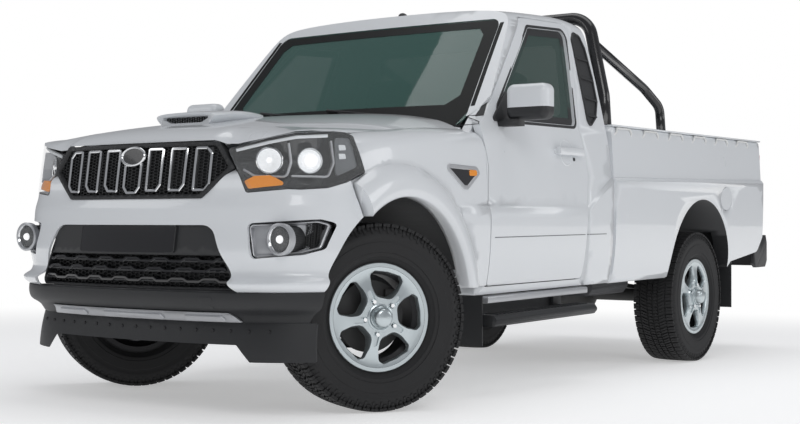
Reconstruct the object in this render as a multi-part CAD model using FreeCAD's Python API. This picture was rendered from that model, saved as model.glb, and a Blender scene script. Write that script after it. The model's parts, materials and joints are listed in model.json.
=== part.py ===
import FreeCAD, Part
import math
import os

os.makedirs("parts", exist_ok=True)

# Pickup truck: single cab, load tub, left-hand drive, front wheels turned to the right lock.
# Millimetres; x to the truck's left, y back from the front axle, z up from the ground.
# The body stands nose down by the rake; wheels, axles and steering stay level.

# whole truck
wheelbase = 3150
track = 1440
tyre_radius = 383
tyre_width = 246
rim_radius = 206
rake_degrees = 1.4
rake_pivot_z = 377
half_width = 872
sill_z = 440
belt_z = 1215
roof_z = 1838
crease_z = 838
proud_step = 9
shut_gap = 5
seat_gap = 0.3
overrun = 60

# nose
nose_y = -742
bonnet_nose_y = -661
bonnet_nose_z = 1092
corner_sweep = 580
bonnet_half = 742
bonnet_rear_y = 700
bonnet_rear_z = 1272

# cab
cab_front_y = 450
cab_rear_y = 1925
side_roll = 34
cab_taper = 14
roof_fall = 95
cab_wall = 42
floor_z = 575
cowl_z = 1140
fender_rear_y = 600

# windscreen
screen_foot_y = 493
screen_top_y = 1167
screen_top_z = 1800
screen_foot_bow = 155
screen_top_bow = 25
screen_half = 950
glass_thickness = 6

# steering and wheels
hub_z = tyre_radius
kingpin_x = 640
steer_outer = 30
steer_inner = 36
arch_radius = 466
arch_y = -12
arch_z = 405

# load tub
tub_front_y = 1955
tub_rear_y = 4160
tub_top_z = 1253
tub_floor_z = 720
tub_wall = 92
gate_pin_y = tub_rear_y - 33
rear_arch_y = 3140
rear_arch_z = 420

# fuel flap
flap_y = 3511
flap_z = 884
flap_half_long = 88
flap_half_high = 68

# chassis rails
rail_x = 400
rail_width = 70
rail_height = 135
rail_z = 425


def vec(x, y, z):
    return FreeCAD.Vector(x, y, z)


origin = vec(0, 0, 0)
along_x = vec(1, 0, 0)
along_y = vec(0, 1, 0)
along_z = vec(0, 0, 1)


# edge drawn smoothly over its poles
def curve(poles):
    if len(poles) == 2:
        return Part.makeLine(poles[0], poles[1])
    line = Part.BSplineCurve()
    line.buildFromPoles(poles, False, min(3, len(poles) - 1))
    return line.toShape()


def ring(groups):
    return Part.Wire([curve(group) for group in groups])


def loft(wires, ruled=False):
    return upright(Part.makeLoft(wires, True, ruled))


# a solid whose volume counts as positive
def upright(solid):
    if solid.Volume < 0:
        solid.reverse()
    return solid


def mirrored(shape):
    return shape.mirror(origin, along_x)


def both(shape):
    return Part.makeCompound([shape, mirrored(shape)])


def joined(shapes):
    whole = shapes[0]
    for shape in shapes[1:]:
        whole = whole.fuse(shape)
    return whole.removeSplitter()


def cut(shape, *tools):
    for tool in tools:
        shape = shape.cut(tool)
    return shape


def block(x, y, z):
    return Part.makeBox(x[1] - x[0], y[1] - y[0], z[1] - z[0], vec(x[0], y[0], z[0]))


def rod(start, end, radius):
    return Part.makeCylinder(radius, (end - start).Length, start, end - start)


# point with two flat coordinates, on a level along the named axis
def point_on(axis, flat, level):
    if axis == "x":
        return vec(level, flat[0], flat[1])
    if axis == "y":
        return vec(flat[0], level, flat[1])
    return vec(flat[0], flat[1], level)


def along(axis):
    return {"x": along_x, "y": along_y, "z": along_z}[axis]


# closed wire with each corner rounded by an arc
def outline(points, radius, axis, level):
    edges = []
    starts = []
    ends = []
    count = len(points)
    radii = radius if isinstance(radius, (list, tuple)) else [radius] * count
    for index in range(count):
        corner = point_on(axis, points[index], level)
        before = point_on(axis, points[index - 1], level) - corner
        after = point_on(axis, points[(index + 1) % count], level) - corner
        half = before.getAngle(after) / 2
        limit = min(before.Length, after.Length) * 0.45
        reach = min(radii[index] / math.tan(half), limit)
        to_before = vec(before.x, before.y, before.z).normalize()
        to_after = vec(after.x, after.y, after.z).normalize()
        starts.append(corner + to_before * reach)
        ends.append(corner + to_after * reach)
        if reach > 0:
            turn = reach * math.tan(half)
            inward = (to_before + to_after).normalize()
            middle = corner + inward * (turn / math.sin(half) - turn)
            edges.append(Part.Arc(starts[index], middle, ends[index]).toShape())
        else:
            edges.append(None)
    wire = []
    for index in range(count):
        if edges[index] is not None:
            wire.append(edges[index])
        wire.append(Part.makeLine(ends[index], starts[(index + 1) % count]))
    return Part.Wire(wire)


def prism(points, axis, low, high, radius=0):
    face = Part.Face(outline(points, radius, axis, low))
    return upright(face.extrude(along(axis) * (high - low)))


# polygon with every side moved outwards by a distance
def grown(points, distance):
    area = 0
    count = len(points)
    for index in range(count):
        here = points[index]
        after = points[(index + 1) % count]
        area += here[0] * after[1] - after[0] * here[1]
    turn = 1 if area > 0 else -1
    moved = []
    for index in range(count):
        before = points[index - 1]
        here = points[index]
        after = points[(index + 1) % count]
        first = (here[0] - before[0], here[1] - before[1])
        second = (after[0] - here[0], after[1] - here[1])
        first_length = math.hypot(first[0], first[1])
        second_length = math.hypot(second[0], second[1])
        first_normal = (first[1] / first_length * turn, -first[0] / first_length * turn)
        second_normal = (second[1] / second_length * turn, -second[0] / second_length * turn)
        scale = 1 + first_normal[0] * second_normal[0] + first_normal[1] * second_normal[1]
        moved.append((
            here[0] + (first_normal[0] + second_normal[0]) * distance / scale,
            here[1] + (first_normal[1] + second_normal[1]) * distance / scale,
        ))
    return moved


# open flat curve with every pole moved to its left-hand side
def inset(points, depth):
    moved = []
    for index in range(len(points)):
        before = points[max(index - 1, 0)]
        after = points[min(index + 1, len(points) - 1)]
        run = (after[0] - before[0], after[1] - before[1])
        length = math.hypot(run[0], run[1])
        moved.append((points[index][0] - run[1] / length * depth, points[index][1] + run[0] / length * depth))
    return moved


# straight runs joined by tangent arcs
def route(points, bend):
    edges = []
    last = points[0]
    for index in range(1, len(points) - 1):
        corner = points[index]
        before = points[index - 1] - corner
        after = points[index + 1] - corner
        half = before.getAngle(after) / 2
        reach = min(bend / math.tan(half), min(before.Length, after.Length) * 0.48)
        turn = reach * math.tan(half)
        to_before = vec(before.x, before.y, before.z).normalize()
        to_after = vec(after.x, after.y, after.z).normalize()
        start = corner + to_before * reach
        end = corner + to_after * reach
        middle = corner + (to_before + to_after).normalize() * (turn / math.sin(half) - turn)
        edges.append(Part.makeLine(last, start))
        edges.append(Part.Arc(start, middle, end).toShape())
        last = end
    edges.append(Part.makeLine(last, points[-1]))
    return Part.Wire(edges)


def tube(points, bend, radius):
    circle = Part.Wire([Part.makeCircle(radius, points[0], points[1] - points[0])])
    return upright(route(points, bend).makePipeShell([circle], True, False))


# closed profile of (distance along x, radius) turned about the wheel's axle
def turned(profile, radius=0):
    face = Part.Face(outline(profile, radius, "y", 0))
    return upright(face.revolve(origin, along_x, 360))


def raked(shape):
    return shape.rotated(vec(0, 0, rake_pivot_z), along_x, rake_degrees)


# shares of the flank's height and of the inward roll, from sill to belt
flank_share = ((0, 1.0), (0.12, 0.25), (0.30, 0), (0.58, 0.05), (0.78, 0.22), (0.92, 0.55), (1, 1))
# shares of the shoulder's width and of the height above the belt, from belt to roof centre
dome_share = (
    (1, 0), (0.957, 0.281), (0.897, 0.618), (0.862, 0.803),
    (0.826, 0.925), (0.720, 0.974), (0.358, 0.997), (0, 1),
)
# shares of the cab's length, the roof's fall and the taper
cab_share = (
    (0, 1, 1), (0.17, 0.79, 0.43), (0.37, 0.53, 0.14), (0.58, 0.23, 0),
    (0.78, 0.04, 0), (0.90, 0, 0.1), (1, 0.13, 0.21),
)


def flank(width, top_z, depth):
    points = [
        (width - side_roll * roll, sill_z + (top_z - sill_z) * height)
        for height, roll in flank_share
    ]
    return inset(points, depth) if depth else points


def cab_wire(place, fall, taper, depth):
    width = half_width - cab_taper * taper
    top = roof_z - roof_fall * fall
    side = [
        (width - side_roll * roll, sill_z + (belt_z - sill_z) * height)
        for height, roll in flank_share
    ]
    shoulder = side[-1][0]
    dome = [(shoulder * out, belt_z + (top - belt_z) * up) for out, up in dome_share]
    path = inset(side + dome[1:], depth)
    path[0] = (path[0][0], sill_z + depth)
    path[-1] = (0, path[-1][1])
    length = cab_rear_y - cab_front_y - depth * 2
    y = cab_front_y + depth + length * place
    split = len(side)
    left = [vec(x, y, z) for x, z in path[:split]]
    arch = [vec(x, y, z) for x, z in path[split - 1:]]
    arch += [vec(-x, y, z) for x, z in path[-2:split - 2:-1]]
    right = [vec(-x, y, z) for x, z in path[split - 1::-1]]
    return ring([[right[-1], left[0]], left, arch, right])


moulds = {}


# the whole cab as one solid, its surface moved inwards by a depth
def cab_mould(depth):
    if depth not in moulds:
        moulds[depth] = loft([cab_wire(place, fall, taper, depth) for place, fall, taper in cab_share])
    return moulds[depth]


# everything ahead of the windscreen's surface and above its foot
def ahead_of_screen(depth):
    slope = math.atan2(screen_top_y - screen_foot_y, screen_top_z - cowl_z)
    back = math.cos(slope) * depth
    down = math.sin(slope) * depth
    bow_share = (-1, -0.55, 0, 0.55, 1)
    rise = screen_top_z - cowl_z
    lean = screen_top_y - screen_foot_y
    rows = []
    for share in (0, 1.3):
        bow = screen_foot_bow + (screen_top_bow - screen_foot_bow) * min(share, 1)
        y = screen_foot_y + lean * share + back
        z = cowl_z + rise * share - down
        rows.append(curve([vec(screen_half * s, y + bow * s * s, z) for s in bow_share]))
    face = Part.makeRuledSurface(rows[0], rows[1])
    return upright(face.extrude(along_y * -(screen_top_y * 2)))


door_front_y = 664
door_outline = [
    (door_front_y, sill_z + 40), (door_front_y + 3, crease_z), (682, 1010), (642, 1205),
    (698, 1240), (1258, 1752), (1738, 1770), (1604, belt_z), (1652, 1005),
    (1630, crease_z), (1592, sill_z + 38),
]
window_outline = [(775, 1232), (1574, 1236), (1682, 1724), (1296, 1704)]
door_flange = 36
door_depth = 78
window_radius = 34
door_radii = [20, 0, 60, 15, 30, 55, 45, 0, 60, 0, 28]


def side_prism(points, radius):
    return prism(points, "x", half_width / 2, half_width + overrun, radius)


# lower layer of the flank that stands proud below the crease
def proud_band(y_low, y_high, crease_low, crease_high, depth):
    wires = []
    lip = proud_step
    for y, crease in ((y_low, crease_low), (y_high, crease_high)):
        taper = cab_taper * 0.4 if y < door_front_y else 0
        width = half_width - taper
        side = flank(width, belt_z, 0)
        foot = side[0]
        outer = [
            (foot[0] + lip * 0.6, sill_z), (foot[0] + lip + side_roll * 0.7, sill_z + lip * 10),
            (width + lip, sill_z + lip * 24), (width + lip, crease - lip * 2),
        ]
        poles = [vec(x, y, z) for x, z in outer]
        chamfer = [poles[-1], vec(width - lip * 0.4, y, crease)]
        inner_top = vec(width - depth, y, crease)
        inner_foot = vec(foot[0] - depth, y, sill_z)
        wires.append(ring([
            poles, chamfer, [chamfer[-1], inner_top], [inner_top, inner_foot], [inner_foot, poles[0]],
        ]))
    return loft(wires, True)


def save(name, shape):
    shape = shape.removeSplitter() if shape.ShapeType != "Compound" else shape
    solids = shape.Solids
    kept = solids[0] if len(solids) == 1 else Part.makeCompound(solids)
    pieces[name] = kept


pieces = {}


def make_cab():
    outer = cut(cab_mould(0), ahead_of_screen(0))
    inner = cut(cab_mould(cab_wall), ahead_of_screen(cab_wall))
    shell = outer.cut(inner)
    bay_half = rail_x + rail_width * 2.8
    shell = shell.cut(block((-bay_half, bay_half), (0, cab_rear_y + overrun), (0, floor_z - 15)))
    floor_half = half_width - side_roll - cab_wall
    floor = block((-floor_half, floor_half), (cab_front_y + 1, cab_rear_y - 1), (floor_z - 15, floor_z))
    sill = block((bay_half, floor_half), (fender_rear_y, cab_rear_y - 1), (sill_z + 1, floor_z))
    shell = joined([shell, floor, sill, mirrored(sill)])
    bay_x = bonnet_half - 7
    bay = block((bay_x, half_width + overrun), (0, fender_rear_y + 2), (0, roof_z))
    tongue = block((bay_x, 805), (fender_rear_y, bonnet_rear_y + shut_gap), (1060, 1200))
    strip = block((815.3, half_width + overrun), (fender_rear_y, door_front_y), (sill_z + 41.7, 1061))
    strip_top = block((804.7, half_width + overrun), (fender_rear_y, door_front_y - shut_gap), (1060, 1195.3))
    shell = cut(shell, bay, mirrored(bay), tongue, mirrored(tongue))
    shell = cut(shell, strip, mirrored(strip), strip_top, mirrored(strip_top))
    hinge_post = joined([
        block((bay_x - 45, bay_x), (cab_front_y, fender_rear_y + 55), (floor_z - 1, cowl_z - 1)),
        block((bay_x - 1, 815), (fender_rear_y + 2, fender_rear_y + 55), (sill_z + 43, 1060)),
        block((bay_x - 1, 800), (fender_rear_y + 50, 720), (1045, 1060)),
        block((bay_x - 45, 800), (705.3, 720), (1045, 1190)),
    ])
    shell = joined([shell, hinge_post, mirrored(hinge_post)])
    opening = side_prism(grown(door_outline, shut_gap), door_radii)
    shell = cut(shell, opening, mirrored(opening))
    rebate_depth = door_flange + seat_gap
    band = cab_mould(rebate_depth).cut(cab_mould(rebate_depth + 16))
    frame_outer = side_prism(grown(door_outline, shut_gap + 6), door_radii)
    frame_inner = side_prism(grown(door_outline, -20), door_radii)
    rebate = band.common(frame_outer.cut(frame_inner))
    rebate = rebate.cut(block((0, half_width * 2), (0, door_front_y + 60), (0, roof_z)))
    rebate = rebate.cut(ahead_of_screen(0))
    screen_hole = [(-742, 1195), (742, 1195), (662, 1738), (-662, 1738)]
    shell = shell.cut(prism(screen_hole, "y", 0, screen_top_y + overrun * 2, 55))
    rear_hole = [(-600, 1300), (600, 1300), (560, 1690), (-560, 1690)]
    shell = shell.cut(prism(rear_hole, "y", cab_rear_y - overrun * 2, cab_rear_y + overrun, 50))
    shell = joined([shell, rebate, mirrored(rebate)])
    quarter = proud_band(1638, cab_rear_y - 2, crease_z, 985, 18)
    quarter = cut(quarter, opening)
    sill_skin = proud_band(door_front_y - shut_gap, 1640, sill_z + 34, sill_z + 34, 18)
    sill_skin = cut(sill_skin, opening)
    shell = joined([shell, quarter, mirrored(quarter), sill_skin, mirrored(sill_skin)])
    save("cab_shell", raked(shell))


def make_glass():
    screen_pane = grown([(-742, 1195), (742, 1195), (662, 1738), (-662, 1738)], -seat_gap)
    sheet = ahead_of_screen(3 + glass_thickness).cut(ahead_of_screen(3))
    screen = sheet.common(prism(screen_pane, "y", 0, screen_top_y + overrun * 2, 55))
    rear_pane = grown([(-600, 1300), (600, 1300), (560, 1690), (-560, 1690)], -seat_gap)
    rear = prism(rear_pane, "y", cab_rear_y - 24, cab_rear_y - 18, 50)
    save("cab_glass", Part.makeCompound([raked(screen), raked(rear)]))


def make_doors():
    skin = cab_mould(0).cut(cab_mould(door_flange))
    panel = skin.common(side_prism(door_outline, door_radii))
    inner_outline = [
        (door_front_y + 70, sill_z + door_depth + 2), (door_front_y + 70, 1150), (1555, 1180), (1580, 1005),
        (1548, sill_z + door_depth + 2),
    ]
    inner = cab_mould(door_flange - 6).cut(cab_mould(door_depth))
    inner = inner.common(side_prism(inner_outline, 30))
    band = proud_band(door_front_y, 1640, crease_z, crease_z, 18)
    band = band.common(side_prism(door_outline, door_radii))
    panel = joined([panel, inner, band])
    panel = panel.cut(side_prism(window_outline, window_radius))
    save("door_left", raked(panel))
    save("door_right", mirrored(raked(panel)))
    pane = cab_mould(14).cut(cab_mould(14 + glass_thickness))
    pane = pane.common(side_prism(grown(window_outline, -seat_gap), window_radius))
    save("door_glass_left", raked(pane))
    save("door_glass_right", mirrored(raked(pane)))


# shares of the nose's half width and of the corner's sweep, from the centre out
nose_share = (
    (0, 0), (0.288, 0.017), (0.484, 0.060), (0.611, 0.098), (0.714, 0.152),
    (0.806, 0.233), (0.893, 0.362), (0.950, 0.517), (0.985, 0.724), (1, 1),
)
nose_half = 866


# closed band round the nose at one level, as thick as its wall
def nose_ring(y, z, depth, wall, reach=1):
    half = [(nose_half * out, y + corner_sweep * back) for out, back in nose_share]
    if reach < 1:
        half = [point for point in half if point[0] <= nose_half * reach]
    outer = [(-x, y) for x, y in half[:0:-1]] + half
    front = inset(outer, depth)
    back = inset(outer, depth + wall)
    front = [vec(x, y, z) for x, y in front]
    back = [vec(x, y, z) for x, y in back]
    return ring([front, [front[-1], back[-1]], back[::-1], [back[0], front[0]]])


def nose_band(levels, depth, wall, reach=1):
    return loft([nose_ring(y, z, depth, wall, reach) for z, y in levels])


# prism seen from forty-five degrees off the nose, outline in (along the corner, up)
def corner_prism(points, low, high, radius=0):
    solid = prism(points, "y", -high, -low, radius)
    return solid.rotated(origin, along_z, 45)


# headlamp outline: distance along the corner and height
lamp_outline = [
    (-117, 1056), (30, 1093), (138, 1114), (283, 1122), (333, 1119), (366, 1106), (392, 1044), (416, 966),
    (335, 925), (257, 903), (151, 897), (105, 899), (-52, 886), (-88, 984),
]
grille_outline = [(-418, 1086), (418, 1086), (497, 984), (362, 866), (-362, 866), (-497, 984)]
intake_outline = [(-425, 762), (425, 762), (545, 512), (-545, 512)]
intake_radii = [70, 70, 20, 20]
upper_nose = [(850, -699), (900, -693), (950, -686), (1000, -678), (1050, -669), (1100, -660), (1150, -650)]


def lamp_cut(gap):
    one = corner_prism(grown(lamp_outline, gap), 300, 1200, 12)
    return [one, mirrored(one)]


def front_arch():
    return rod(vec(450, arch_y, arch_z), vec(half_width + overrun * 2, arch_y, arch_z), arch_radius)


def make_fenders():
    # shares of the fender's length, of the half width and of the shut line's rise
    station_share = (
        (0, 0.893, 0), (0.09, 0.944, 0.16), (0.2, 0.974, 0.40), (0.36, 0.989, 0.62),
        (0.66, 0.993, 0.9), (0.93, 0.993, 0.99), (1, 0.993, 1),
    )
    front_y = -420
    shut_front_z = 1088
    shut_rear_z = 1180
    skin = 9
    wires = []
    foot_z = sill_z + 42
    for place, wide, rise in station_share:
        y = front_y + (bonnet_rear_y - front_y) * place
        width = half_width * wide
        shut = shut_front_z + (shut_rear_z - shut_front_z) * rise
        poles = [
            (width - 22, foot_z), (width - 6, foot_z + 80), (width, 690), (width, 880), (width - 5, 985),
            (width - 15, shut - 70), (max(width - 38, bonnet_half + 10), shut - 12), (bonnet_half + shut_gap, shut),
        ]
        outer = [vec(x, y, z) for x, z in poles]
        inner = [vec(x, y, z) for x, z in inset(poles, skin)]
        wires.append(ring([outer, [outer[-1], inner[-1]], inner[::-1], [inner[0], outer[0]]]))
    panel = loft(wires)
    seam = [(-470, 1300), (-345, 968), (-262, 775), (-200, foot_z), (door_front_y, foot_z), (760, foot_z), (760, 1300)]
    clip = prism(seam, "x", bonnet_half, half_width + overrun)
    poles = [(893, 466), (903, 478), (906, 508), (898, 548), (880, 584), (852, 604)]
    lip = [vec(x, 0, r) for x, r in poles]
    low = vec(838, 0, 604)
    edge = vec(838, 0, 466)
    profile = Part.Face(ring([lip, [lip[-1], low], [low, edge], [edge, lip[0]]]))
    flare = upright(profile.revolve(origin, along_x, 360)).translated(vec(0, arch_y, arch_z))
    band = proud_band(430, door_front_y, crease_z, crease_z, 16)
    flange = block((bonnet_half - 6.7, 857), (583, 597), (foot_z + 60, 985))
    fender = joined([panel, flare.common(clip), band.common(clip), flange])
    opening = side_prism(grown(door_outline, shut_gap), door_radii)
    over = block((805, half_width + overrun), (fender_rear_y, bonnet_rear_y + overrun), (0, roof_z))
    back = over.cut(block((0, half_width + overrun), (0, door_front_y - shut_gap), (0, 1195)))
    well = rod(vec(445, arch_y, arch_z), vec(838, arch_y, arch_z), arch_radius + 9.3)
    fender = cut(fender.common(clip), front_arch(), well, opening, back, lamp_cut(shut_gap)[0])
    save("fender_left", raked(fender))
    save("fender_right", mirrored(raked(fender)))
    liner = rod(vec(445, arch_y, arch_z), vec(837.7, arch_y, arch_z), arch_radius + 9)
    liner = liner.cut(rod(vec(440, arch_y, arch_z), vec(838, arch_y, arch_z), arch_radius + 3))
    liner = liner.common(block((0, half_width), (-600, 600), (560, 1000)))
    liner = liner.cut(block((690, half_width), (-600, -180), (0, 1000)))
    save("arch_liners", raked(both(liner)))


def make_bonnet():
    # shares of the half width: place, crown, run-back of the front edge and of the rear edge
    column_share = ((0, 1, 0, 0), (0.3, 0.97, 0.03, 0.05), (0.55, 0.87, 0.115, 0.22), (0.75, 0.67, 0.30, 0.48),
                    (0.9, 0.36, 0.64, 0.78), (1, 0, 1, 1))
    # shares from front to rear: place, rise of the centre, rise of the edge
    row_share = ((0, 0, 0), (0.012, 0.10, 0.05), (0.05, 0.25, 0.09), (0.17, 0.43, 0.17), (0.35, 0.60, 0.38),
                 (0.56, 0.77, 0.66), (0.78, 0.90, 0.88), (1, 1, 1))
    front_run = 181
    rear_run = bonnet_rear_y - 560
    edge_front_z = 1094
    edge_rear_z = 1180
    skin = 20
    rows = []
    for place, centre_rise, edge_rise in row_share:
        row = []
        centre_z = bonnet_nose_z + (bonnet_rear_z - bonnet_nose_z) * centre_rise
        edge_z = edge_front_z + (edge_rear_z - edge_front_z) * edge_rise
        columns = [(-a, b, c, d) for a, b, c, d in column_share[:0:-1]] + list(column_share)
        for out, crown, forward, rear in columns:
            front_y = bonnet_nose_y + front_run * forward
            rear_y = bonnet_rear_y - rear_run + rear_run * rear
            y = front_y + (rear_y - front_y) * place
            row.append(vec(bonnet_half * out, y, edge_z + (centre_z - edge_z) * crown))
        rows.append(row)
    surface = Part.BSplineSurface()
    row_count = len(rows)
    column_count = len(rows[0])
    row_knots = list(range(row_count - 2))
    column_knots = list(range(column_count - 2))
    surface.buildFromPolesMultsKnots(
        rows, [4] + [1] * (len(row_knots) - 2) + [4], [4] + [1] * (len(column_knots) - 2) + [4],
        row_knots, column_knots, False, False, 3, 3)
    bonnet = upright(surface.toShape().extrude(along_z * -skin))
    scoop = []
    # shares of the scoop's length, width and height
    for place, wide, high in ((0, 1, 1), (0.3, 1.02, 1.05), (0.7, 0.8, 1.0), (1, 0.5, 0.9)):
        y = -368 + 420 * place
        half = 178 * wide
        base = 1150 + 45 * place
        top = 1180 + 46 * high + 42 * place - 20 * place * place
        foot = half * 0.5
        left = vec(-foot, y, base)
        right = vec(foot, y, base)
        arch = [vec(x, y, z) for x, z in (
            (foot, base), (half * 0.98, top - 20), (half * 0.9, top), (half * 0.4, top + 3), (0, top + 4))]
        arch += [vec(-p.x, y, p.z) for p in arch[-2::-1]]
        scoop.append(ring([[left, right], arch]))
    hood = loft(scoop)
    bonnet = joined([bonnet, hood])
    mouth = prism([(-152, 1213), (152, 1213), (92, 1186), (-92, 1186)], "y", -420, -290, 8)
    over_grille = prism(grown(grille_outline, shut_gap), "y", -900, -600)
    bonnet = cut(bonnet, mouth, over_grille, *lamp_cut(shut_gap)).common(ahead_of_screen(-shut_gap))
    save("bonnet", raked(bonnet))
    return bonnet


# height at which a plumb line first meets a shape
def height_under(shape, x, y):
    line = Part.makeLine(vec(x, y, 0), vec(x, y, roof_z * 2))
    return line.common(shape).BoundBox.ZMin


def make_nose(bonnet):
    white_nose = [(505, -738), (560, -743), (640, -738), (720, -728), (790, -714), (840, -706),
                  (862, -697), (910, -689), (960, -682), (1010, -676)]
    wall = 12
    bumper = nose_band(white_nose, 0, wall)
    seam = [(-800, 505), (-200, 505), (-200, 640), (-267, 775), (-350, 968), (-800, 968 + 20)]
    bumper = bumper.common(prism(seam, "x", -half_width - overrun, half_width + overrun))
    top = prism([(-900, 1100), (900, 1100), (900, 970), (520, 970), (505, 990), (-505, 990), (-520, 970), (-900, 970)],
                "y", -900, 0)
    hexagon = prism(grown(grille_outline, 1), "y", -900, -400, 12)
    intake = prism(intake_outline[:2] + [(551, 500), (-551, 500)], "y", -900, -300, [70, 70, 0, 0])
    bumper = cut(bumper, hexagon, intake, top, front_arch(), mirrored(front_arch()), *lamp_cut(1.5))
    fog_hole = [(570, 768), (792, 783), (822, 768), (808, 668), (760, 648), (598, 633)]
    fog = prism(fog_hole, "y", -800, -400, 18)
    bumper = cut(bumper, fog, mirrored(fog))
    tab = block((455, 480), (-690, -560.3), (800, 840))
    tab = tab.cut(nose_band(white_nose, -60, 60 + wall / 2))
    bumper = joined([bumper, tab, mirrored(tab)])
    save("front_bumper", raked(bumper))

    # grille: hexagonal frame, back plate and seven brackets
    face = nose_band(upper_nose, -4, 30, 0.81)
    outer = prism(grille_outline, "y", -900, -400, 12)
    inner = prism(grown(grille_outline, -16), "y", -900, -400, 10)
    frame = face.common(outer).cut(inner)
    plate = nose_band(upper_nose, 20, 6, 0.81).common(outer)
    brackets = []
    for index in range(-3, 4):
        centre = index * 118
        half = 38 if index else 46
        low = 893 if index else 885
        skew = 0 if index == 0 else (1 if index > 0 else -1)
        loop = [(centre - half, 1068), (centre + half, 1068), (centre + half, low + 25), (centre + half - 22, low),
                (centre - half + 22, low), (centre - half, low + 25)]
        if skew > 0:
            loop = [loop[0], loop[1], loop[2], loop[3], (centre - half, low)]
        if skew < 0:
            loop = [loop[0], loop[1], (centre + half, low), loop[4], loop[5]]
        ring_outer = prism(loop, "y", -900, -400, 5)
        ring_inner = prism(grown(loop, -8), "y", -900, -400, 3)
        brackets.append(nose_band(upper_nose, 2, 20, 0.81).common(ring_outer.cut(ring_inner)))
    tab = block((-40, 40), (-660, -560.3), (950, 990)).cut(nose_band(upper_nose, -60, 84, 0.81))
    save("grille", raked(cut(joined([frame, plate, tab] + brackets), *lamp_cut(seat_gap))))

    # intake: number plate panel above three slats
    intake_nose = [(480, -742), (560, -743), (640, -738), (720, -728), (790, -714)]
    hole = prism(grown(intake_outline, -0.5), "y", -900, -300, intake_radii)
    panel = nose_band(intake_nose, 12, 12, 0.81).common(hole).common(block((-600, 600), (-800, 0), (645, 800)))
    back = nose_band(intake_nose, 70, 6, 0.81).common(hole)
    slats = []
    for z in (622, 583, 544, 516):
        slat = nose_band(intake_nose, 16, 60, 0.81).common(hole)
        slats.append(slat.common(block((-600, 600), (-800, 0), (z - 4, z + 5))))
    shelf = nose_band(intake_nose, 14, 60, 0.81).common(hole).common(block((-600, 600), (-800, 0), (645, 651)))
    wall_ring = nose_band(intake_nose, 14, 60, 0.81).common(hole)
    inner = prism(grown(intake_outline, -7), "y", -900, -300, intake_radii)
    wall_ring = wall_ring.cut(inner)
    tab = block((-40, 40), (-662, -560.3), (600, 660)).cut(nose_band(intake_nose, -60, 134, 0.81))
    save("lower_grille", raked(joined([panel, back, shelf, wall_ring, tab] + slats)))

    # black lower bumper
    black_nose = [(384, -655), (404, -672), (426, -700), (445, -734), (470, -747), (504.5, -746)]
    lower = nose_band(black_nose, 0, 12)
    seam = [(-800, 380), (-430, 380), (-360, 504.5), (-800, 504.5)]
    lower = lower.common(prism(seam, "x", -half_width - overrun, half_width + overrun))
    lip = nose_band([(490, -747), (500, -746), (511, -743)], 0, 26, 0.81).common(
        prism([(-556, 485), (556, 485), (544.5, 511.5), (-544.5, 511.5)], "y", -900, -400))
    lower = joined([lower, lip])
    lower = cut(lower, front_arch(), mirrored(front_arch()))
    tab = block((310, 350), (-735, -560.3), (445, 485)).cut(nose_band(black_nose, -60, 66))
    lower = joined([lower, tab, mirrored(tab)])
    save("lower_bumper", raked(lower))

    garnish = nose_band(black_nose, -11, 10.7)
    garnish = garnish.common(prism([(-520, 386), (520, 386), (486, 425), (-486, 425)], "y", -900, -400, 4))
    save("skid_garnish", raked(garnish))

    sheet = nose_band([(225, -690), (300, -680), (383.7, -655)], 0, 5)
    shape = [(-760, 383.7), (760, 383.7), (770, 236), (560, 236), (500, 300), (-500, 300), (-560, 236), (-770, 236)]
    sheet = sheet.common(prism(shape, "y", -900, -250, 6))
    sheet = sheet.common(prism([(-800, 200), (-345, 200), (-345, 300), (-425, 384), (-800, 384)], "x", -900, 900))
    save("valance", raked(sheet))

    # lamps: two on the corners, two round ones in the bumper's recesses
    lamp = nose_band(upper_nose, 0, 95).common(corner_prism(lamp_outline, 300, 1200, 12))
    fog_can = rod(vec(705, -520, 708), vec(705, -612, 708), 50)
    bezel = nose_band(white_nose, 34, 8).common(prism(grown(fog_hole, 6), "y", -800, -400, 20))
    fog_lamp = joined([fog_can, bezel])
    save("headlamps", raked(both(lamp)))
    save("fog_lamps", raked(both(fog_lamp)))

    radiator = block((-380, 380), (-560, -490), (560, 985))
    crossbar = block((-560, 560), (-560, -520), (940, 990))
    lower_bar = block((-500, 500), (-560, -500), (440, 500))
    posts = [block((365, 400), (-560, -520), (440, 990)), block((-400, -365), (-560, -520), (440, 990))]
    ear = joined([block((390, 668), (-545, -495), (700, 760)), block((390, 620), (-545, -495), (920, 980))])
    bumper_bar = block((-500, 500), (-560, -520), (790, 850))
    panel = joined([radiator, crossbar, bumper_bar, lower_bar, ear, mirrored(ear)] + posts)
    panel = cut(panel, lamp, mirrored(lamp), fog_can, mirrored(fog_can))
    catch_half = 15
    catch_y = -540
    catch_top = height_under(bonnet, catch_half, catch_y - catch_half) - seat_gap
    catch = block((-catch_half, catch_half), (catch_y - catch_half, catch_y + catch_half), (980, catch_top))
    save("radiator_panel", raked(joined([panel, catch])))


def axle_point():
    angle = math.radians(rake_degrees)
    y = wheelbase * math.cos(angle) + (hub_z - rake_pivot_z) * math.sin(angle)
    z = rake_pivot_z - wheelbase * math.sin(angle) + (hub_z - rake_pivot_z) * math.cos(angle)
    return y, z


# prism with an oval outline round the fuel flap's centre, from a level outwards
def oval_prism(half_long, half_high, low):
    centre = vec(low, flap_y, flap_z)
    oval = Part.Ellipse(vec(low, flap_y + half_long, flap_z), vec(low, flap_y, flap_z + half_high), centre)
    face = Part.Face(Part.Wire([oval.toShape()]))
    return upright(face.extrude(along_x * (half_width + overrun - low)))


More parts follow.
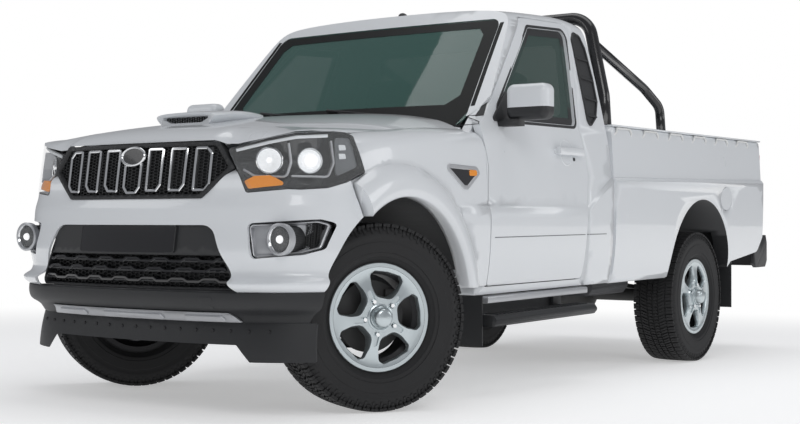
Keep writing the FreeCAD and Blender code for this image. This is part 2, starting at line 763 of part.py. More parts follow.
def make_tub():
    width = half_width - 3
    poles = [
        (width - side_roll, sill_z - 5), (width - 8, sill_z + 90), (width, 680), (width - 1, 900),
        (width - 8, 1060), (width - 15, 1180), (width - 18, 1232), (width - 24, tub_top_z), (width - 34, tub_top_z),
    ]
    walls = []
    for y in (tub_front_y, tub_rear_y):
        outer = [vec(x, y, z) for x, z in poles]
        inner_top = vec(width - tub_wall, y, tub_top_z)
        inner_foot = vec(width - tub_wall, y, sill_z - 5)
        walls.append(ring([outer, [outer[-1], inner_top], [inner_top, inner_foot], [inner_foot, outer[0]]]))
    side = loft(walls, True)
    shape = [(tub_front_y, sill_z - 4), (3560, sill_z - 4), (3640, 500), (4080, 548), (tub_rear_y, 640),
             (tub_rear_y, roof_z), (tub_front_y, roof_z)]
    clip = prism(shape, "x", 0, half_width + overrun, [0, 30, 30, 60, 20, 0, 0])
    band = proud_band(tub_front_y, tub_rear_y, 985, 1006, 14)
    side = joined([side, band]).common(clip)
    radius = 458
    house = rod(vec(552, rear_arch_y, rear_arch_z), vec(width - 20, rear_arch_y, rear_arch_z), radius + 9)
    house = house.common(block((0, half_width), (0, tub_rear_y), (tub_floor_z - 40, roof_z)))
    hollow = rod(vec(562, rear_arch_y, rear_arch_z), vec(half_width + overrun, rear_arch_y, rear_arch_z), radius)
    inner_half = width - tub_wall + 2
    floor = block((-inner_half, inner_half), (tub_front_y, tub_rear_y - 60), (tub_floor_z - 22, tub_floor_z))
    front = block((-inner_half, inner_half), (tub_front_y, tub_front_y + 40), (tub_floor_z - 20, tub_top_z - 20))
    bearers = [
        block((-700, 700), (y, y + 70), (tub_floor_z - 70, tub_floor_z - 20)) for y in (2080, 2560, 3650, 4000)
    ]
    tub = joined([side, mirrored(side), floor, front, house, mirrored(house)] + bearers)
    tub = cut(tub, hollow, mirrored(hollow))
    stop = block((inner_half - 24, inner_half + 4), (tub_rear_y - 75, tub_rear_y - 55.3), (tub_floor_z - 2, tub_top_z - 30))
    rear_sill = block((-inner_half, inner_half), (tub_rear_y - 70, gate_pin_y), (tub_floor_z - 22, tub_floor_z - 8))
    tub = joined([tub, rear_sill, stop, mirrored(stop)])
    lid_depth = 10
    pocket = oval_prism(flap_half_long + shut_gap, flap_half_high + shut_gap, width - 45)
    boss = oval_prism(38, 38, width - 60)
    lid_inner = width + proud_step - lid_depth
    boss = boss.common(block((0, lid_inner - seat_gap), (0, tub_rear_y), (0, roof_z)))
    lid = tub.common(oval_prism(flap_half_long, flap_half_high, lid_inner))
    tub = tub.cut(pocket).fuse(boss)
    save("load_tub", raked(tub))
    save("fuel_flap", raked(lid))
    gate = block((-inner_half + 8, inner_half - 8), (tub_rear_y - 55, tub_rear_y - 10), (tub_floor_z - 3, tub_top_z - 8))
    save("tailgate", raked(gate))
    lamp = block((width - tub_wall + 12, width - 20), (tub_rear_y + 0.3, tub_rear_y + 22), (880, 1170))
    save("tail_lamps", raked(both(lamp)))
    shape = [(tub_rear_y + 10, 470), (tub_rear_y + 60, 440), (4395, 440), (4428, 480), (4428, 600), (4405, 650),
             (tub_rear_y + 10, 650)]
    bumper = prism(shape, "x", -810, 810, 12)
    hollow = block((-790, 790), (tub_rear_y, 4400), (400, 620))
    bumper = bumper.cut(hollow)
    arms = [block((365, 435), (4150.3, 4405), (520, 600)), block((-435, -365), (4150.3, 4405), (520, 600))]
    save("rear_bumper", raked(joined([bumper] + arms)))


def make_chassis():
    plan = [(295, -499.7), (365, -499.7), (365, 480), (435, 720), (435, 4150), (365, 4150), (365, 735), (295, 495)]
    side = [(-560, 425), (2350, 425), (2700, 515), (4150, 515), (4150, 649.7), (2680, 649.7), (2330, 560), (-560, 560)]
    rail = prism(plan, "z", 300, 800, 20).common(prism(side, "x", 250, 500, 60))
    members = [
        block((-300, 300), (-499, -430), (440, 500)),
        block((-300, 300), (-60, 60), (430, 470)),
        block((-370, 370), (990, 1040), (430, 500)).cut(rod(vec(0, 600, 465), vec(0, 1140, 455), 66)),
        rod(vec(-370, 1450, 528), vec(370, 1450, 528), 30),
        rod(vec(-370, 2050, 528), vec(370, 2050, 528), 30),
        block((-370, 370), (2700, 2770), (560, 640)),
        block((-370, 370), (3450, 3510), (560, 640)),
        block((-370, 370), (4060, 4140), (530, 640)),
    ]
    mounts = []
    for y in (740, 1200, 1800):
        mounts.append(block((420, 560), (y, y + 60), (500, 559.7)))
    for y in (660, 1480):
        mounts.append(block((420, 760), (y, y + 50), (405, sill_z - seat_gap)))
    y_axle, z_axle = axle_point()
    mounts.append(block((430, 550), (y_axle - 640, y_axle - 600), (437.4, 520)))
    mounts.append(block((430, 550), (y_axle + 600, y_axle + 640), (437.4, 530)))
    sides = [rail] + mounts
    save("chassis_frame", raked(joined(sides + [mirrored(s) for s in sides] + members)))
    # springs and axle
    leaves = []
    for side_x in (510,):
        points = [(y_axle - 620, 425), (y_axle - 300, z_axle + 60), (y_axle, z_axle + 42), (y_axle + 300, z_axle + 60),
                  (y_axle + 620, 425)]
        top = [vec(480, y, z + 12) for y, z in points]
        low = [vec(480, y, z - 12) for y, z in points]
        face = Part.Face(ring([top, [top[-1], low[-1]], low[::-1], [low[0], top[0]]]))
        leaves.append(upright(face.extrude(along_x * 60)))
        leaves.append(block((475, 545), (y_axle - 60, y_axle + 60), (z_axle - 50, z_axle + 70)))
    axle = [
        rod(vec(-689.7, y_axle, z_axle), vec(689.7, y_axle, z_axle), 40),
        Part.makeSphere(140, vec(40, y_axle, z_axle)),
        rod(vec(40, y_axle, z_axle), vec(40, y_axle - 210, z_axle + 5), 48),
        rod(vec(620, y_axle, z_axle), vec(650, y_axle, z_axle), 150),
        rod(vec(-620, y_axle, z_axle), vec(-650, y_axle, z_axle), 150),
        rod(vec(-745, y_axle, z_axle), vec(745, y_axle, z_axle), 22),
    ]
    save("rear_axle", raked(joined(axle + leaves + [mirrored(leaf) for leaf in leaves])))
    engine = joined([
        block((-225, 225), (-300, 380), (471, 780)), block((-160, 160), (-280, 360), (780, 1040)),
        block((-294.7, 294.7), (-20, 60), (480, 520)),
    ])
    save("engine_block", raked(engine))
    gearbox = joined([
        rod(vec(0, 380.3, 470), vec(0, 620, 470), 86), rod(vec(0, 600, 465), vec(0, 1140, 455), 66),
        rod(vec(0, 1130, 455), vec(40, y_axle - 213, z_axle + 5), 34), block((-60, 330), (700, 790), (400, 470)),
    ])
    save("driveline", raked(gearbox))
    pipe = tube([
        vec(-190, 200, 470.7), vec(-190, 200, 400), vec(-240, 420, 380), vec(-240, 1250, 380), vec(-240, 2450, 385),
        vec(-290, 2850, 480), vec(-290, 3380, 480), vec(-300, 3700, 440), vec(-420, 4120, 430),
    ], 60, 26)
    muffler = rod(vec(-240, 1300, 380), vec(-240, 1900, 382), 72)
    hanger = block((-250, -230), (1440, 1460), (440, 497.7))
    save("exhaust", raked(joined([pipe, muffler, hanger])))
    tank = prism([(470, 500), (470, 360), (690, 360), (720, 400), (720, 500)], "y", 2000, 2440, 20)
    straps = [block((435.3, 480), (y, y + 30), (460, 500)) for y in (2080, 2320)]
    save("fuel_tank", raked(joined([tank] + straps)))


def steered(shape, side):
    angle = -steer_outer if side > 0 else -steer_inner
    return shape.rotated(vec(kingpin_x * side, 0, 0), along_z, angle)


def make_wheels():
    half = tyre_width / 2
    r = tyre_radius
    bead_x = half - 28
    outer = [(bead_x, rim_radius + 0.3), (bead_x, rim_radius + 18), (bead_x, rim_radius + 32), (half, rim_radius + 62),
             (half + 3, rim_radius + 100),
             (half - 8, r - 34), (half - 22, r - 12), (half - 42, r - 1), (half - 75, r)]
    right = [vec(x, 0, z) for x, z in outer]
    left = [vec(-x, 0, z) for x, z in outer]
    inner = [(half - 52, rim_radius + 0.3), (half - 44, rim_radius + 30), (half - 24, rim_radius + 80),
             (half - 34, r - 40), (half - 60, r - 22)]
    right_in = [vec(x, 0, z) for x, z in inner]
    left_in = [vec(-x, 0, z) for x, z in inner]
    profile = ring([
        right, [right[-1], left[-1]], left[::-1], [left[0], left_in[0]], left_in, [left_in[-1], right_in[-1]],
        right_in[::-1], [right_in[0], right[0]],
    ])
    tyre = upright(Part.Face(profile).revolve(origin, along_x, 360))
    grooves = []
    for x in (-54, -18, 18, 54):
        groove = turned([(x - 4, r + 20), (x - 4, r - 9), (x + 4, r - 9), (x + 4, r + 20)])
        grooves.append(groove)
    tyre = cut(tyre, *grooves)
    seat = rim_radius
    barrel = turned([
        (-104, seat + 15), (-98, seat + 15), (-97, seat), (-62, seat), (-40, seat - 24), (50, seat - 24), (66, seat),
        (97, seat), (98, seat + 15), (104, seat + 15), (104, seat - 2), (64, seat - 8), (48, seat - 32), (-44, seat - 32),
        (-66, seat - 8), (-104, seat - 8),
    ], 3)
    disc = turned([
        (94, seat - 2), (97, 178), (90, 130), (76, 92), (70, 66), (74, 40), (76, 0), (44, 0), (44, 70), (58, 120),
        (68, 170), (68, seat - 2),
    ], [0, 10, 10, 10, 10, 10, 0, 0, 10, 10, 10, 0])
    windows = []
    opening = [(-34, 92), (34, 92), (66, 172), (40, 188), (-40, 188), (-66, 172)]
    for index in range(5):
        hole = prism(opening, "x", 20, 130, 18)
        windows.append(hole.rotated(origin, along_x, index * 72))
    disc = cut(disc, *windows)
    hub = rod(vec(-30, 0, 0), vec(60, 0, 0), 62)
    disc_brake = rod(vec(-12, 0, 0), vec(12, 0, 0), 148)
    cap = turned([(70, 0), (70, 36), (86, 36), (94, 26), (95, 0)], 4)
    wheel = joined([barrel, disc, hub, disc_brake, cap])
    wheel = wheel.cut(rod(vec(-60, 0, 0), vec(30, 0, 0), 22.3))
    for side, name in ((1, "left"), (-1, "right")):
        for end, y in (("front", 0), ("rear", wheelbase)):
            for kind, shape in (("tyre", tyre), ("wheel", wheel)):
                one = shape if side > 0 else mirrored(shape)
                one = one.translated(vec(track / 2 * side, y, hub_z))
                if end == "front":
                    one = steered(one, side)
                save(kind + "_" + end + "_" + name, one)


def make_steering():
    pin = 14
    column = rod(vec(kingpin_x, 0, 290), vec(kingpin_x, 0, 476), 30)
    spindle = rod(vec(kingpin_x, 0, hub_z), vec(track / 2 + 29.7, 0, hub_z), 22)
    shoulder = rod(vec(kingpin_x, 0, hub_z), vec(track / 2 - 31, 0, hub_z), 44)
    caliper = block((track / 2 - 30, track / 2 + 30), (60, 120), (hub_z + 45, hub_z + 110))
    caliper = caliper.cut(rod(vec(track / 2 - 15, 0, hub_z), vec(track / 2 + 15, 0, hub_z), 152))
    bridge = block((kingpin_x - 10, track / 2 - 20), (20, 120), (hub_z + 20, hub_z + 90))
    bridge = bridge.cut(rod(vec(track / 2 - 33, 0, hub_z), vec(track / 2 + 33, 0, hub_z), 65))
    arm = block((kingpin_x - 14, kingpin_x + 14), (-130, 0), (320, 345))
    knuckle = joined([column, spindle, shoulder, bridge, caliper, arm])
    knuckle = cut(knuckle, rod(vec(kingpin_x, 0, 280), vec(kingpin_x, 0, 330), pin + 0.3),
                  rod(vec(kingpin_x, 0, 440), vec(kingpin_x, 0, 490), pin + 0.3))
    save("knuckle_left", steered(knuckle, 1))
    save("knuckle_right", steered(mirrored(knuckle), -1))
    parts = []
    lower = [(rail_x - 35 + 0, -110), (kingpin_x + 24, -22), (kingpin_x + 24, 22), (rail_x - 35, 110), (rail_x - 35, 70),
             (kingpin_x - 70, 0), (rail_x - 35, -70)]
    parts.append(prism(lower, "z", 248, 274, 8))
    parts.append(rod(vec(kingpin_x, 0, 250), vec(kingpin_x, 0, 328), pin))
    upper = [(rail_x - 35 + 0, -90), (kingpin_x + 22, -20), (kingpin_x + 22, 20), (rail_x - 35, 90), (rail_x - 35, 60),
             (kingpin_x - 70, 0), (rail_x - 35, -60)]
    parts.append(prism(upper, "z", 490, 510, 8))
    parts.append(rod(vec(kingpin_x, 0, 442), vec(kingpin_x, 0, 505), pin))
    post = block((rail_x - 34.7, rail_x - 10), (-115, 115), (240, 520))
    parts.append(post)
    save("front_suspension", both(joined(parts)))


def make_fittings():
    # sports bar behind the cab
    radius = 33
    hoop = tube([
        vec(790, 2010, tub_top_z + 5), vec(775, 2020, 1420), vec(660, 2075, 1846), vec(-660, 2075, 1846),
        vec(-775, 2020, 1420), vec(-790, 2010, tub_top_z + 5),
    ], 130, radius)
    stays = []
    for side in (1, -1):
        stays.append(tube([
            vec(712 * side, 2060, 1690), vec(730 * side, 2640, 1500), vec(778 * side, 2740, 1400),
            vec(786 * side, 2745, tub_top_z + 5),
        ], 90, 26))
    feet = [block((755, 825), (1965, 2060), (tub_top_z + 0.3, tub_top_z + 12)),
            block((755, 825), (2700, 2790), (tub_top_z + 0.3, tub_top_z + 12))]
    save("sports_bar", raked(joined([hoop] + stays + feet + [mirrored(foot) for foot in feet])))
    rails = []
    posts = 6
    start = tub_front_y + 130
    step = (tub_rear_y - 100 - start) / posts
    rail_z_top = tub_top_z + 26
    bar = rod(vec(810, start, rail_z_top), vec(810, start + step * posts, rail_z_top), 7)
    rails.append(bar)
    for index in range(posts + 1):
        y = start + step * index
        rails.append(rod(vec(810, y, tub_top_z + 0.3), vec(810, y, rail_z_top), 8))
    clear = block((700, 900), (2690, 2800), (tub_top_z, tub_top_z + 100))
    save("rope_rails", raked(both(joined(rails).cut(clear))))
    # side steps
    step_outline = [(800, 325), (815, 300), (905, 300), (925, 325), (905, 352), (815, 352)]
    step = prism(step_outline, "y", 640, 1640, 16)
    arms = [block((730, 830), (y, y + 50), (330, 350)) for y in (660, 1480)]
    legs = [block((730, 760), (y, y + 50), (330, 404.7)) for y in (660, 1480)]
    save("side_steps", raked(both(joined([step] + arms + legs))))
    front_flap = block((700, 862), (612, 618), (215, 439.7))
    rear_flap = joined([
        block((640, 860), (3640, 3647), (215, 498)), block((640, 776.7), (3640, 3647), (400, tub_floor_z - 22.3)),
    ])
    save("mudflaps", raked(Part.makeCompound([front_flap, mirrored(front_flap), rear_flap, mirrored(rear_flap)])))
    louvre = cab_mould(-5).cut(cab_mould(-0.3))
    shape = [(1745, 1705), (1800, 1715), (1850, 1640), (1895, 1330), (1880, 1262), (1838, 1250)]
    louvre = louvre.common(side_prism(shape, 18))
    save("pillar_louvres", raked(both(louvre)))


def make_interior():
    seats = []
    for x in (360,):
        cushion = block((x - 250, x + 250), (1000, 1500), (640, 790))
        back = prism([(1480, 700), (1620, 1340), (1740, 1340), (1620, 680)], "x", x - 245, x + 245, 40)
        head = prism([(1615, 1360), (1640, 1530), (1720, 1530), (1735, 1360)], "x", x - 130, x + 130, 30)
        neck = block((x - 60, x + 60), (1660, 1700), (1320, 1380))
        base = block((x - 200, x + 200), (1060, 1440), (floor_z + 0.3, 660))
        seats.append(joined([cushion, back, head, neck, base]))
    save("seats", raked(both(seats[0])))
    shape = [(cab_front_y + cab_wall + 0.3, 900), (800, 880), (860, 960), (850, 1130), (780, 1200), (640, 1195),
             (cab_front_y + cab_wall + 0.3, 1090)]
    dash = prism(shape, "x", -689, 689, 30)
    dash = dash.cut(ahead_of_screen(cab_wall + 6))
    column = rod(vec(370, 820, 1030), vec(370, 985, 1090), 28)
    wheel = Part.makeTorus(185, 15, vec(370, 990, 1092), vec(0, 165, 60))
    hub = rod(vec(370, 970, 1085), vec(370, 1000, 1096), 60)
    spokes = rod(vec(190, 990, 1092), vec(550, 990, 1092), 12)
    save("dashboard", raked(joined([dash, column, wheel, hub, spokes])))
    head = block((870, 1080), (800, 905), (1222, 1385))
    head = head.makeFillet(35, head.Edges)
    arm = block((815, 940), (800, 862), (1196, 1228))
    mirror_body = joined([head, arm]).cut(cab_mould(-0.3))
    save("mirror_left", raked(mirror_body))
    save("mirror_right", mirrored(raked(mirror_body)))


make_cab()
make_glass()
make_doors()
make_fenders()
make_nose(make_bonnet())
make_tub()
make_chassis()
make_wheels()
make_steering()
make_fittings()
make_interior()

# the origin goes midway between the nose and the rear bumper
fronts = [point.y for point in pieces["lower_bumper"].tessellate(1)[0]]
rears = [point.y for point in pieces["rear_bumper"].tessellate(1)[0]]
middle_y = round((min(fronts) + max(rears)) / 2)
print("middle", middle_y, "front", min(fronts), "rear", max(rears))

for name, shape in pieces.items():
    placed = shape.translated(vec(0, -middle_y, 0))
    placed.exportStep("parts/" + name + ".step")
    print(name, len(placed.Solids), round(placed.Volume / 1e6, 2), placed.isValid())
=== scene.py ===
import json
import math

import bmesh
import bpy
from mathutils import Matrix, Vector
from mathutils.bvhtree import BVHTree

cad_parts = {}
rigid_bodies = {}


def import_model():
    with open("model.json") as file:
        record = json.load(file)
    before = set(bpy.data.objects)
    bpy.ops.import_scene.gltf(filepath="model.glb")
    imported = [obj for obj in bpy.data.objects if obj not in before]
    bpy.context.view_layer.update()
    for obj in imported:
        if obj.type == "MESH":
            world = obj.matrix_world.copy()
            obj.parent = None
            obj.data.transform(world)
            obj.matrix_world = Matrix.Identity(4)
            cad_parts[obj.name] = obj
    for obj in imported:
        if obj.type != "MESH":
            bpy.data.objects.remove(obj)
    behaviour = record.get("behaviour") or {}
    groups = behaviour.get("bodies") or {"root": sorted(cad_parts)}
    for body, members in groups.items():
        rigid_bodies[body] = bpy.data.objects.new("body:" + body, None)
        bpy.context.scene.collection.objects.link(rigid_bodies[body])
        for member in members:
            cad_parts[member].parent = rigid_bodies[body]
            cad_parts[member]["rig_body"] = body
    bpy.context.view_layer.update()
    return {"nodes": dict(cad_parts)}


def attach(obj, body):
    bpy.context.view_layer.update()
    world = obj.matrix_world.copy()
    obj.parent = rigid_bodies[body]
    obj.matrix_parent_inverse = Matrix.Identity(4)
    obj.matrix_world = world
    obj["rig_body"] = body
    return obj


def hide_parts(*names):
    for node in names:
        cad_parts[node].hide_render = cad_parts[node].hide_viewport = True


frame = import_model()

print("frame loaded")

# The truck's own sizes, in metres. Its body leans nose down, its wheels stand level.
truck = {
    "middle": 1.838, "rakeDegrees": 1.4, "rakePivot": 0.377, "wheelbase": 3.15, "track": 1.44,
    "kingpin": 0.64, "hubHeight": 0.383, "steerLeft": 30, "steerRight": 36,
    "rearArch": (3.140, 0.420), "archReach": 0.4615, "archHalf": 0.858, "archTop": 0.9,
    "underTub": (0.790, 0.715), "fogCan": (0.705, 0.708), "fogCanRadius": 0.051, "fogSilverEnd": 0.752,
}
cadNodes = frame["nodes"]
rowShift = Matrix.Translation((0, -truck["middle"], 0))
bodyLean = (Matrix.Translation((0, 0, truck["rakePivot"]))
            @ Matrix.Rotation(math.radians(truck["rakeDegrees"]), 4, "X")
            @ Matrix.Translation((0, 0, -truck["rakePivot"])))
bodyToRow = rowShift @ bodyLean
rowToBody = bodyToRow.inverted()
mirrorX = Matrix.Scale(-1, 4, (1, 0, 0))


# materials
def newMaterial(name, color, roughness, metallic=0.0, alpha=1.0, **sockets):
    material = bpy.data.materials.new(name)
    material.use_nodes = True
    material.diffuse_color = (*color, 1)
    shader = material.node_tree.nodes["Principled BSDF"]
    shader.inputs["Base Color"].default_value = (*color, 1)
    shader.inputs["Roughness"].default_value = roughness
    shader.inputs["Metallic"].default_value = metallic
    shader.inputs["Alpha"].default_value = alpha
    for socket, value in sockets.items():
        shader.inputs[socket].default_value = value
    return material


def addNode(material, kind, **values):
    node = material.node_tree.nodes.new(kind)
    for key, value in values.items():
        if hasattr(node, key):
            setattr(node, key, value)
        else:
            node.inputs[key.replace("_", " ")].default_value = value
    return node


def linkNodes(tree, pairs):
    for output, target in pairs:
        tree.links.new(output, target)


# grain: a fine bump, with roughness that varies slowly over the surface
def addGrain(material, scale, height, spread, slowScale=3.0):
    shader = material.node_tree.nodes["Principled BSDF"]
    rough = shader.inputs["Roughness"].default_value
    place = addNode(material, "ShaderNodeTexCoord")
    fine = addNode(material, "ShaderNodeTexNoise", Scale=scale, Detail=3.0)
    slow = addNode(material, "ShaderNodeTexNoise", Scale=slowScale, Detail=2.0)
    spreadMap = addNode(material, "ShaderNodeMapRange", To_Min=rough - spread, To_Max=rough + spread)
    bump = addNode(material, "ShaderNodeBump", Distance=height, Strength=1.0)
    linkNodes(material.node_tree, (
        (place.outputs["Object"], fine.inputs["Vector"]),
        (place.outputs["Object"], slow.inputs["Vector"]),
        (slow.outputs["Fac"], spreadMap.inputs["Value"]),
        (spreadMap.outputs["Result"], shader.inputs["Roughness"]),
        (fine.outputs["Fac"], bump.inputs["Height"]),
        (bump.outputs["Normal"], shader.inputs["Normal"]),
    ))
    return material


# colour, roughness, metallic, the grain's scale, height and spread, further sockets
finishes = {
    "whitePaint": ((0.79, 0.815, 0.84), 0.30, 0, 900, 0.00002, 0.06,
                   {"Coat Weight": 0.8, "Coat Roughness": 0.04}),
    "blackPlastic": ((0.022, 0.023, 0.025), 0.5, 0, 1400, 0.0002, 0.06, {}),
    "glossBlack": ((0.010, 0.010, 0.012), 0.12, 0, 600, 0.00001, 0.03, {"Coat Weight": 0.6}),
    "silverPlastic": ((0.50, 0.51, 0.53), 0.35, 0.55, 1200, 0.00005, 0.06, {}),
    "chrome": ((0.86, 0.87, 0.88), 0.09, 1.0, 300, 0.00001, 0.03, {}),
    "alloy": ((0.60, 0.66, 0.68), 0.30, 0.85, 1500, 0.00004, 0.06, {"Coat Weight": 0.3}),
    "rubber": ((0.016, 0.016, 0.017), 0.72, 0, 700, 0.0003, 0.06, {}),
    "blackSteel": ((0.020, 0.020, 0.022), 0.45, 0.3, 250, 0.0003, 0.06, {}),
    "castSteel": ((0.09, 0.09, 0.09), 0.6, 0.7, 300, 0.0005, 0.06, {}),
    "glossBar": ((0.012, 0.012, 0.013), 0.2, 0, 500, 0.00003, 0.04, {"Coat Weight": 0.5}),
    "lensRed": ((0.45, 0.012, 0.010), 0.12, 0, 400, 0.00002, 0.03, {"Coat Weight": 0.6}),
    "amber": ((0.95, 0.32, 0.02), 0.15, 0, 400, 0.00003, 0.03, {"Coat Weight": 0.6}),
    "whiteLens": ((0.85, 0.88, 0.90), 0.2, 0, 400, 0.00003, 0.03, {"Coat Weight": 0.6}),
    "darkTrim": ((0.035, 0.036, 0.040), 0.62, 0, 900, 0.0002, 0.06, {}),
    "ropeWhite": ((0.80, 0.80, 0.79), 0.45, 0, 600, 0.0002, 0.06, {}),
    "lampGrey": ((0.16, 0.17, 0.18), 0.3, 0.3, 500, 0.00003, 0.03, {}),
    "lampWhite": ((0.90, 0.92, 0.94), 0.10, 0, 500, 0.00001, 0.03,
                  {"Coat Weight": 0.8, "Emission Color": (1, 1, 1, 1), "Emission Strength": 0.6}),
    "fabric": ((0.055, 0.057, 0.062), 0.9, 0, 1600, 0.0006, 0.06, {"Sheen Weight": 0.3}),
    "fritBlack": ((0.004, 0.005, 0.005), 0.45, 0, 300, 0.00002, 0.05, {"Specular IOR Level": 0.25}),
}
finish = {}
for name, (color, roughness, metallic, scale, height, spread, sockets) in finishes.items():
    finish[name] = addGrain(newMaterial(name, color, roughness, metallic, **sockets), scale, height, spread)


def glassMaterial(name, color, roughness=0.02, alpha=0.35):
    material = newMaterial(name, color, roughness, 0.0, alpha, **{"Coat Weight": 0.4})
    addGrain(material, 60, 0.000004, 0.015)
    material.blend_method = "BLEND"
    return material


finish["screenGlass"] = glassMaterial("screenGlass", (0.040, 0.125, 0.105), 0.04, 0.72)
finish["sideGlass"] = glassMaterial("sideGlass", (0.05, 0.10, 0.085), 0.04, 0.55)
finish["clearLens"] = glassMaterial("clearLens", (0.93, 0.95, 0.96), 0.02, 0.06)
print("materials made")


# mesh helpers
def finishMesh(obj, materials, angle=32):
    mesh = obj.data
    kinds = [polygon.material_index for polygon in mesh.polygons]
    mesh.materials.clear()
    for material in materials:
        mesh.materials.append(finish[material])
    mesh.polygons.foreach_set("material_index", [min(kind, len(materials) - 1) for kind in kinds])
    for polygon in mesh.polygons:
        polygon.use_smooth = True
    mesh.set_sharp_from_angle(angle=math.radians(angle))
    return obj


# a piece from a bmesh whose points are in the row's frame already
def addPiece(name, shape, body, materials, angle=32, recalc=True):
    if recalc:
        bmesh.ops.recalc_face_normals(shape, faces=shape.faces)
    mesh = bpy.data.meshes.new(name)
    shape.to_mesh(mesh)
    shape.free()
    obj = bpy.data.objects.new(name, mesh)
    bpy.context.scene.collection.objects.link(obj)
    finishMesh(obj, materials, angle)
    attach(obj, body)
    return obj


# merged copy of a CAD node's mesh, which then stands for the node
def dressNode(node, materials, name=None, angle=32, faceMaterial=None):
    source = cadNodes[node]
    shape = bmesh.new()
    shape.from_mesh(source.data)
    bmesh.ops.remove_doubles(shape, verts=shape.verts, dist=0.00002)
    bmesh.ops.dissolve_degenerate(shape, edges=shape.edges, dist=0.00002)
    if faceMaterial:
        for face in shape.faces:
            centre = rowToBody @ face.calc_center_median()
            face.material_index = faceMaterial(centre, face.normal)
    obj = addPiece(name or node + "_skin", shape, source["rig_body"], materials, angle, recalc=False)
    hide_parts(node)
    return obj


# curves: clamped cubic spline through evenly spaced knots, as a list of points
def splinePoints(poles, steps):
    count = len(poles)
    degree = min(3, count - 1)
    spans = count - degree
    knots = [0] * (degree + 1) + list(range(1, spans)) + [spans] * (degree + 1)
    points = []
    for step in range(steps + 1):
        value = spans * step / steps
        span = min(int(value), spans - 1) + degree
        work = [Vector(poles[span - degree + i]) for i in range(degree + 1)]
        for level in range(1, degree + 1):
            for i in range(degree, level - 1, -1):
                low = knots[span - degree + i]
                high = knots[i + 1 + span - level]
                share = (value - low) / (high - low)
                work[i] = work[i - 1].lerp(work[i], share)
        points.append(work[degree])
    return points


# corners of a closed or open flat outline replaced by short arcs
def roundCorners(points, radius, steps=5, closed=True):
    rounded = []
    count = len(points)
    radii = radius if isinstance(radius, (list, tuple)) else [radius] * count
    for index in range(count):
        here = Vector(points[index])
        if radii[index] <= 0 or (not closed and index in (0, count - 1)):
            rounded.append(here)
            continue
        before = Vector(points[index - 1]) - here
        after = Vector(points[(index + 1) % count]) - here
        half = before.angle(after) / 2
        reach = min(radii[index] / math.tan(half), before.length * 0.48, after.length * 0.48)
        turn = reach * math.tan(half)
        start = here + before.normalized() * reach
        end = here + after.normalized() * reach
        centre = here + (before.normalized() + after.normalized()).normalized() * (turn / math.sin(half))
        first = start - centre
        last = end - centre
        sweep = first.angle(last)
        for step in range(steps + 1):
            share = step / steps
            mix = (first * math.sin((1 - share) * sweep) + last * math.sin(share * sweep)) / math.sin(sweep)
            rounded.append(centre + mix)
    return rounded


# how far off the rays start, and how far they step aside where they miss
rayStart = 4
asideStep = 0.0015


# a surface that is looked at along one of the body's axes: (first, second, lift) to a point of the row
def surfaceMap(nodeNames, axis, sign=1.0, keep=None):
    points = []
    faces = []
    for nodeName in nodeNames:
        mesh = cadNodes[nodeName].data
        start = len(points)
        points += [rowToBody @ vertex.co for vertex in mesh.vertices]
        faces += [[start + i for i in polygon.vertices] for polygon in mesh.polygons
                  if keep is None or keep(rowToBody @ polygon.center)]
    tree = BVHTree.FromPolygons(points, faces)
    toward = {"x": Vector((-sign, 0, 0)), "y": Vector((0, 1, 0)) * sign, "z": Vector((0, 0, -sign))}[axis]

    def place(first, second, lift=0.0):
        flat = {"x": (0, first, second), "y": (first, 0, second), "z": (first, second, 0)}[axis]
        origin = Vector(flat) - toward * rayStart
        hit, normal = tree.ray_cast(origin, toward)[:2]
        asides = {"x": (Vector((0, 1, 0)), Vector((0, 0, 1))), "y": (Vector((1, 0, 0)), Vector((0, 0, 1))),
                  "z": (Vector((1, 0, 0)), Vector((0, 1, 0)))}[axis]
        for step in range(1, 25):
            if hit is not None:
                break
            for aside in (asides[0], -asides[0], asides[1], -asides[1]):
                near, normal = tree.ray_cast(origin + aside * step * asideStep, toward)[:2]
                if near is not None:
                    hit = near - aside * step * asideStep
                    break
        if hit is None:
            reach = 0.85 if axis == "x" else 0.7
            hit = tree.find_nearest(origin + toward * (rayStart - reach))[0]
            normal = -toward
        if normal.dot(toward) > 0:
            normal = -normal
        return bodyToRow @ (hit + normal * lift)
    return place


# closed or open band that follows a flat path laid on a surface; its section is (across, lift) pairs
def bandOn(place, path, section, closed=True, shape=None):
    shape = shape or bmesh.new()
    path = [Vector(point) for point in path]
    count = len(path)
    rings = []
    for index in range(count):
        before = path[index - 1] if closed or index > 0 else path[index]
        after = path[(index + 1) % count] if closed or index < count - 1 else path[index]
        first = (path[index] - before).normalized() if before != path[index] else None
        second = (after - path[index]).normalized() if after != path[index] else None
        along = ((first or second) + (second or first)).normalized()
        side = Vector((along.y, -along.x))
        widen = 1 / max(side.dot(Vector((second.y, -second.x))), 0.4) if first and second else 1
        ring = []
        for across, lift in section:
            flat = path[index] + side * across * widen
            ring.append(shape.verts.new(place(flat.x, flat.y, lift)))
        rings.append(ring)
    size = len(section)
    last = count if closed else count - 1
    for index in range(last):
        here, there = rings[index], rings[(index + 1) % count]
        for i in range(size):
            j = (i + 1) % size
            shape.faces.new((here[i], here[j], there[j], there[i]))
    if not closed:
        shape.faces.new(rings[0])
        shape.faces.new(rings[-1][::-1])
    return shape


# circle or oval as a flat outline
def circleOutline(across, up, halfAcross, halfUp, count):
    angles = [math.tau * i / count for i in range(count)]
    return [(across + halfAcross * math.cos(angle), up + halfUp * math.sin(angle)) for angle in angles]


# rectangular section with chamfered front corners, for bandOn
def barSection(width, front, back, chamfer=0.001):
    half = width / 2
    return [(half, back), (half, front - chamfer), (half - chamfer, front), (-half + chamfer, front),
            (-half, front - chamfer), (-half, back)]


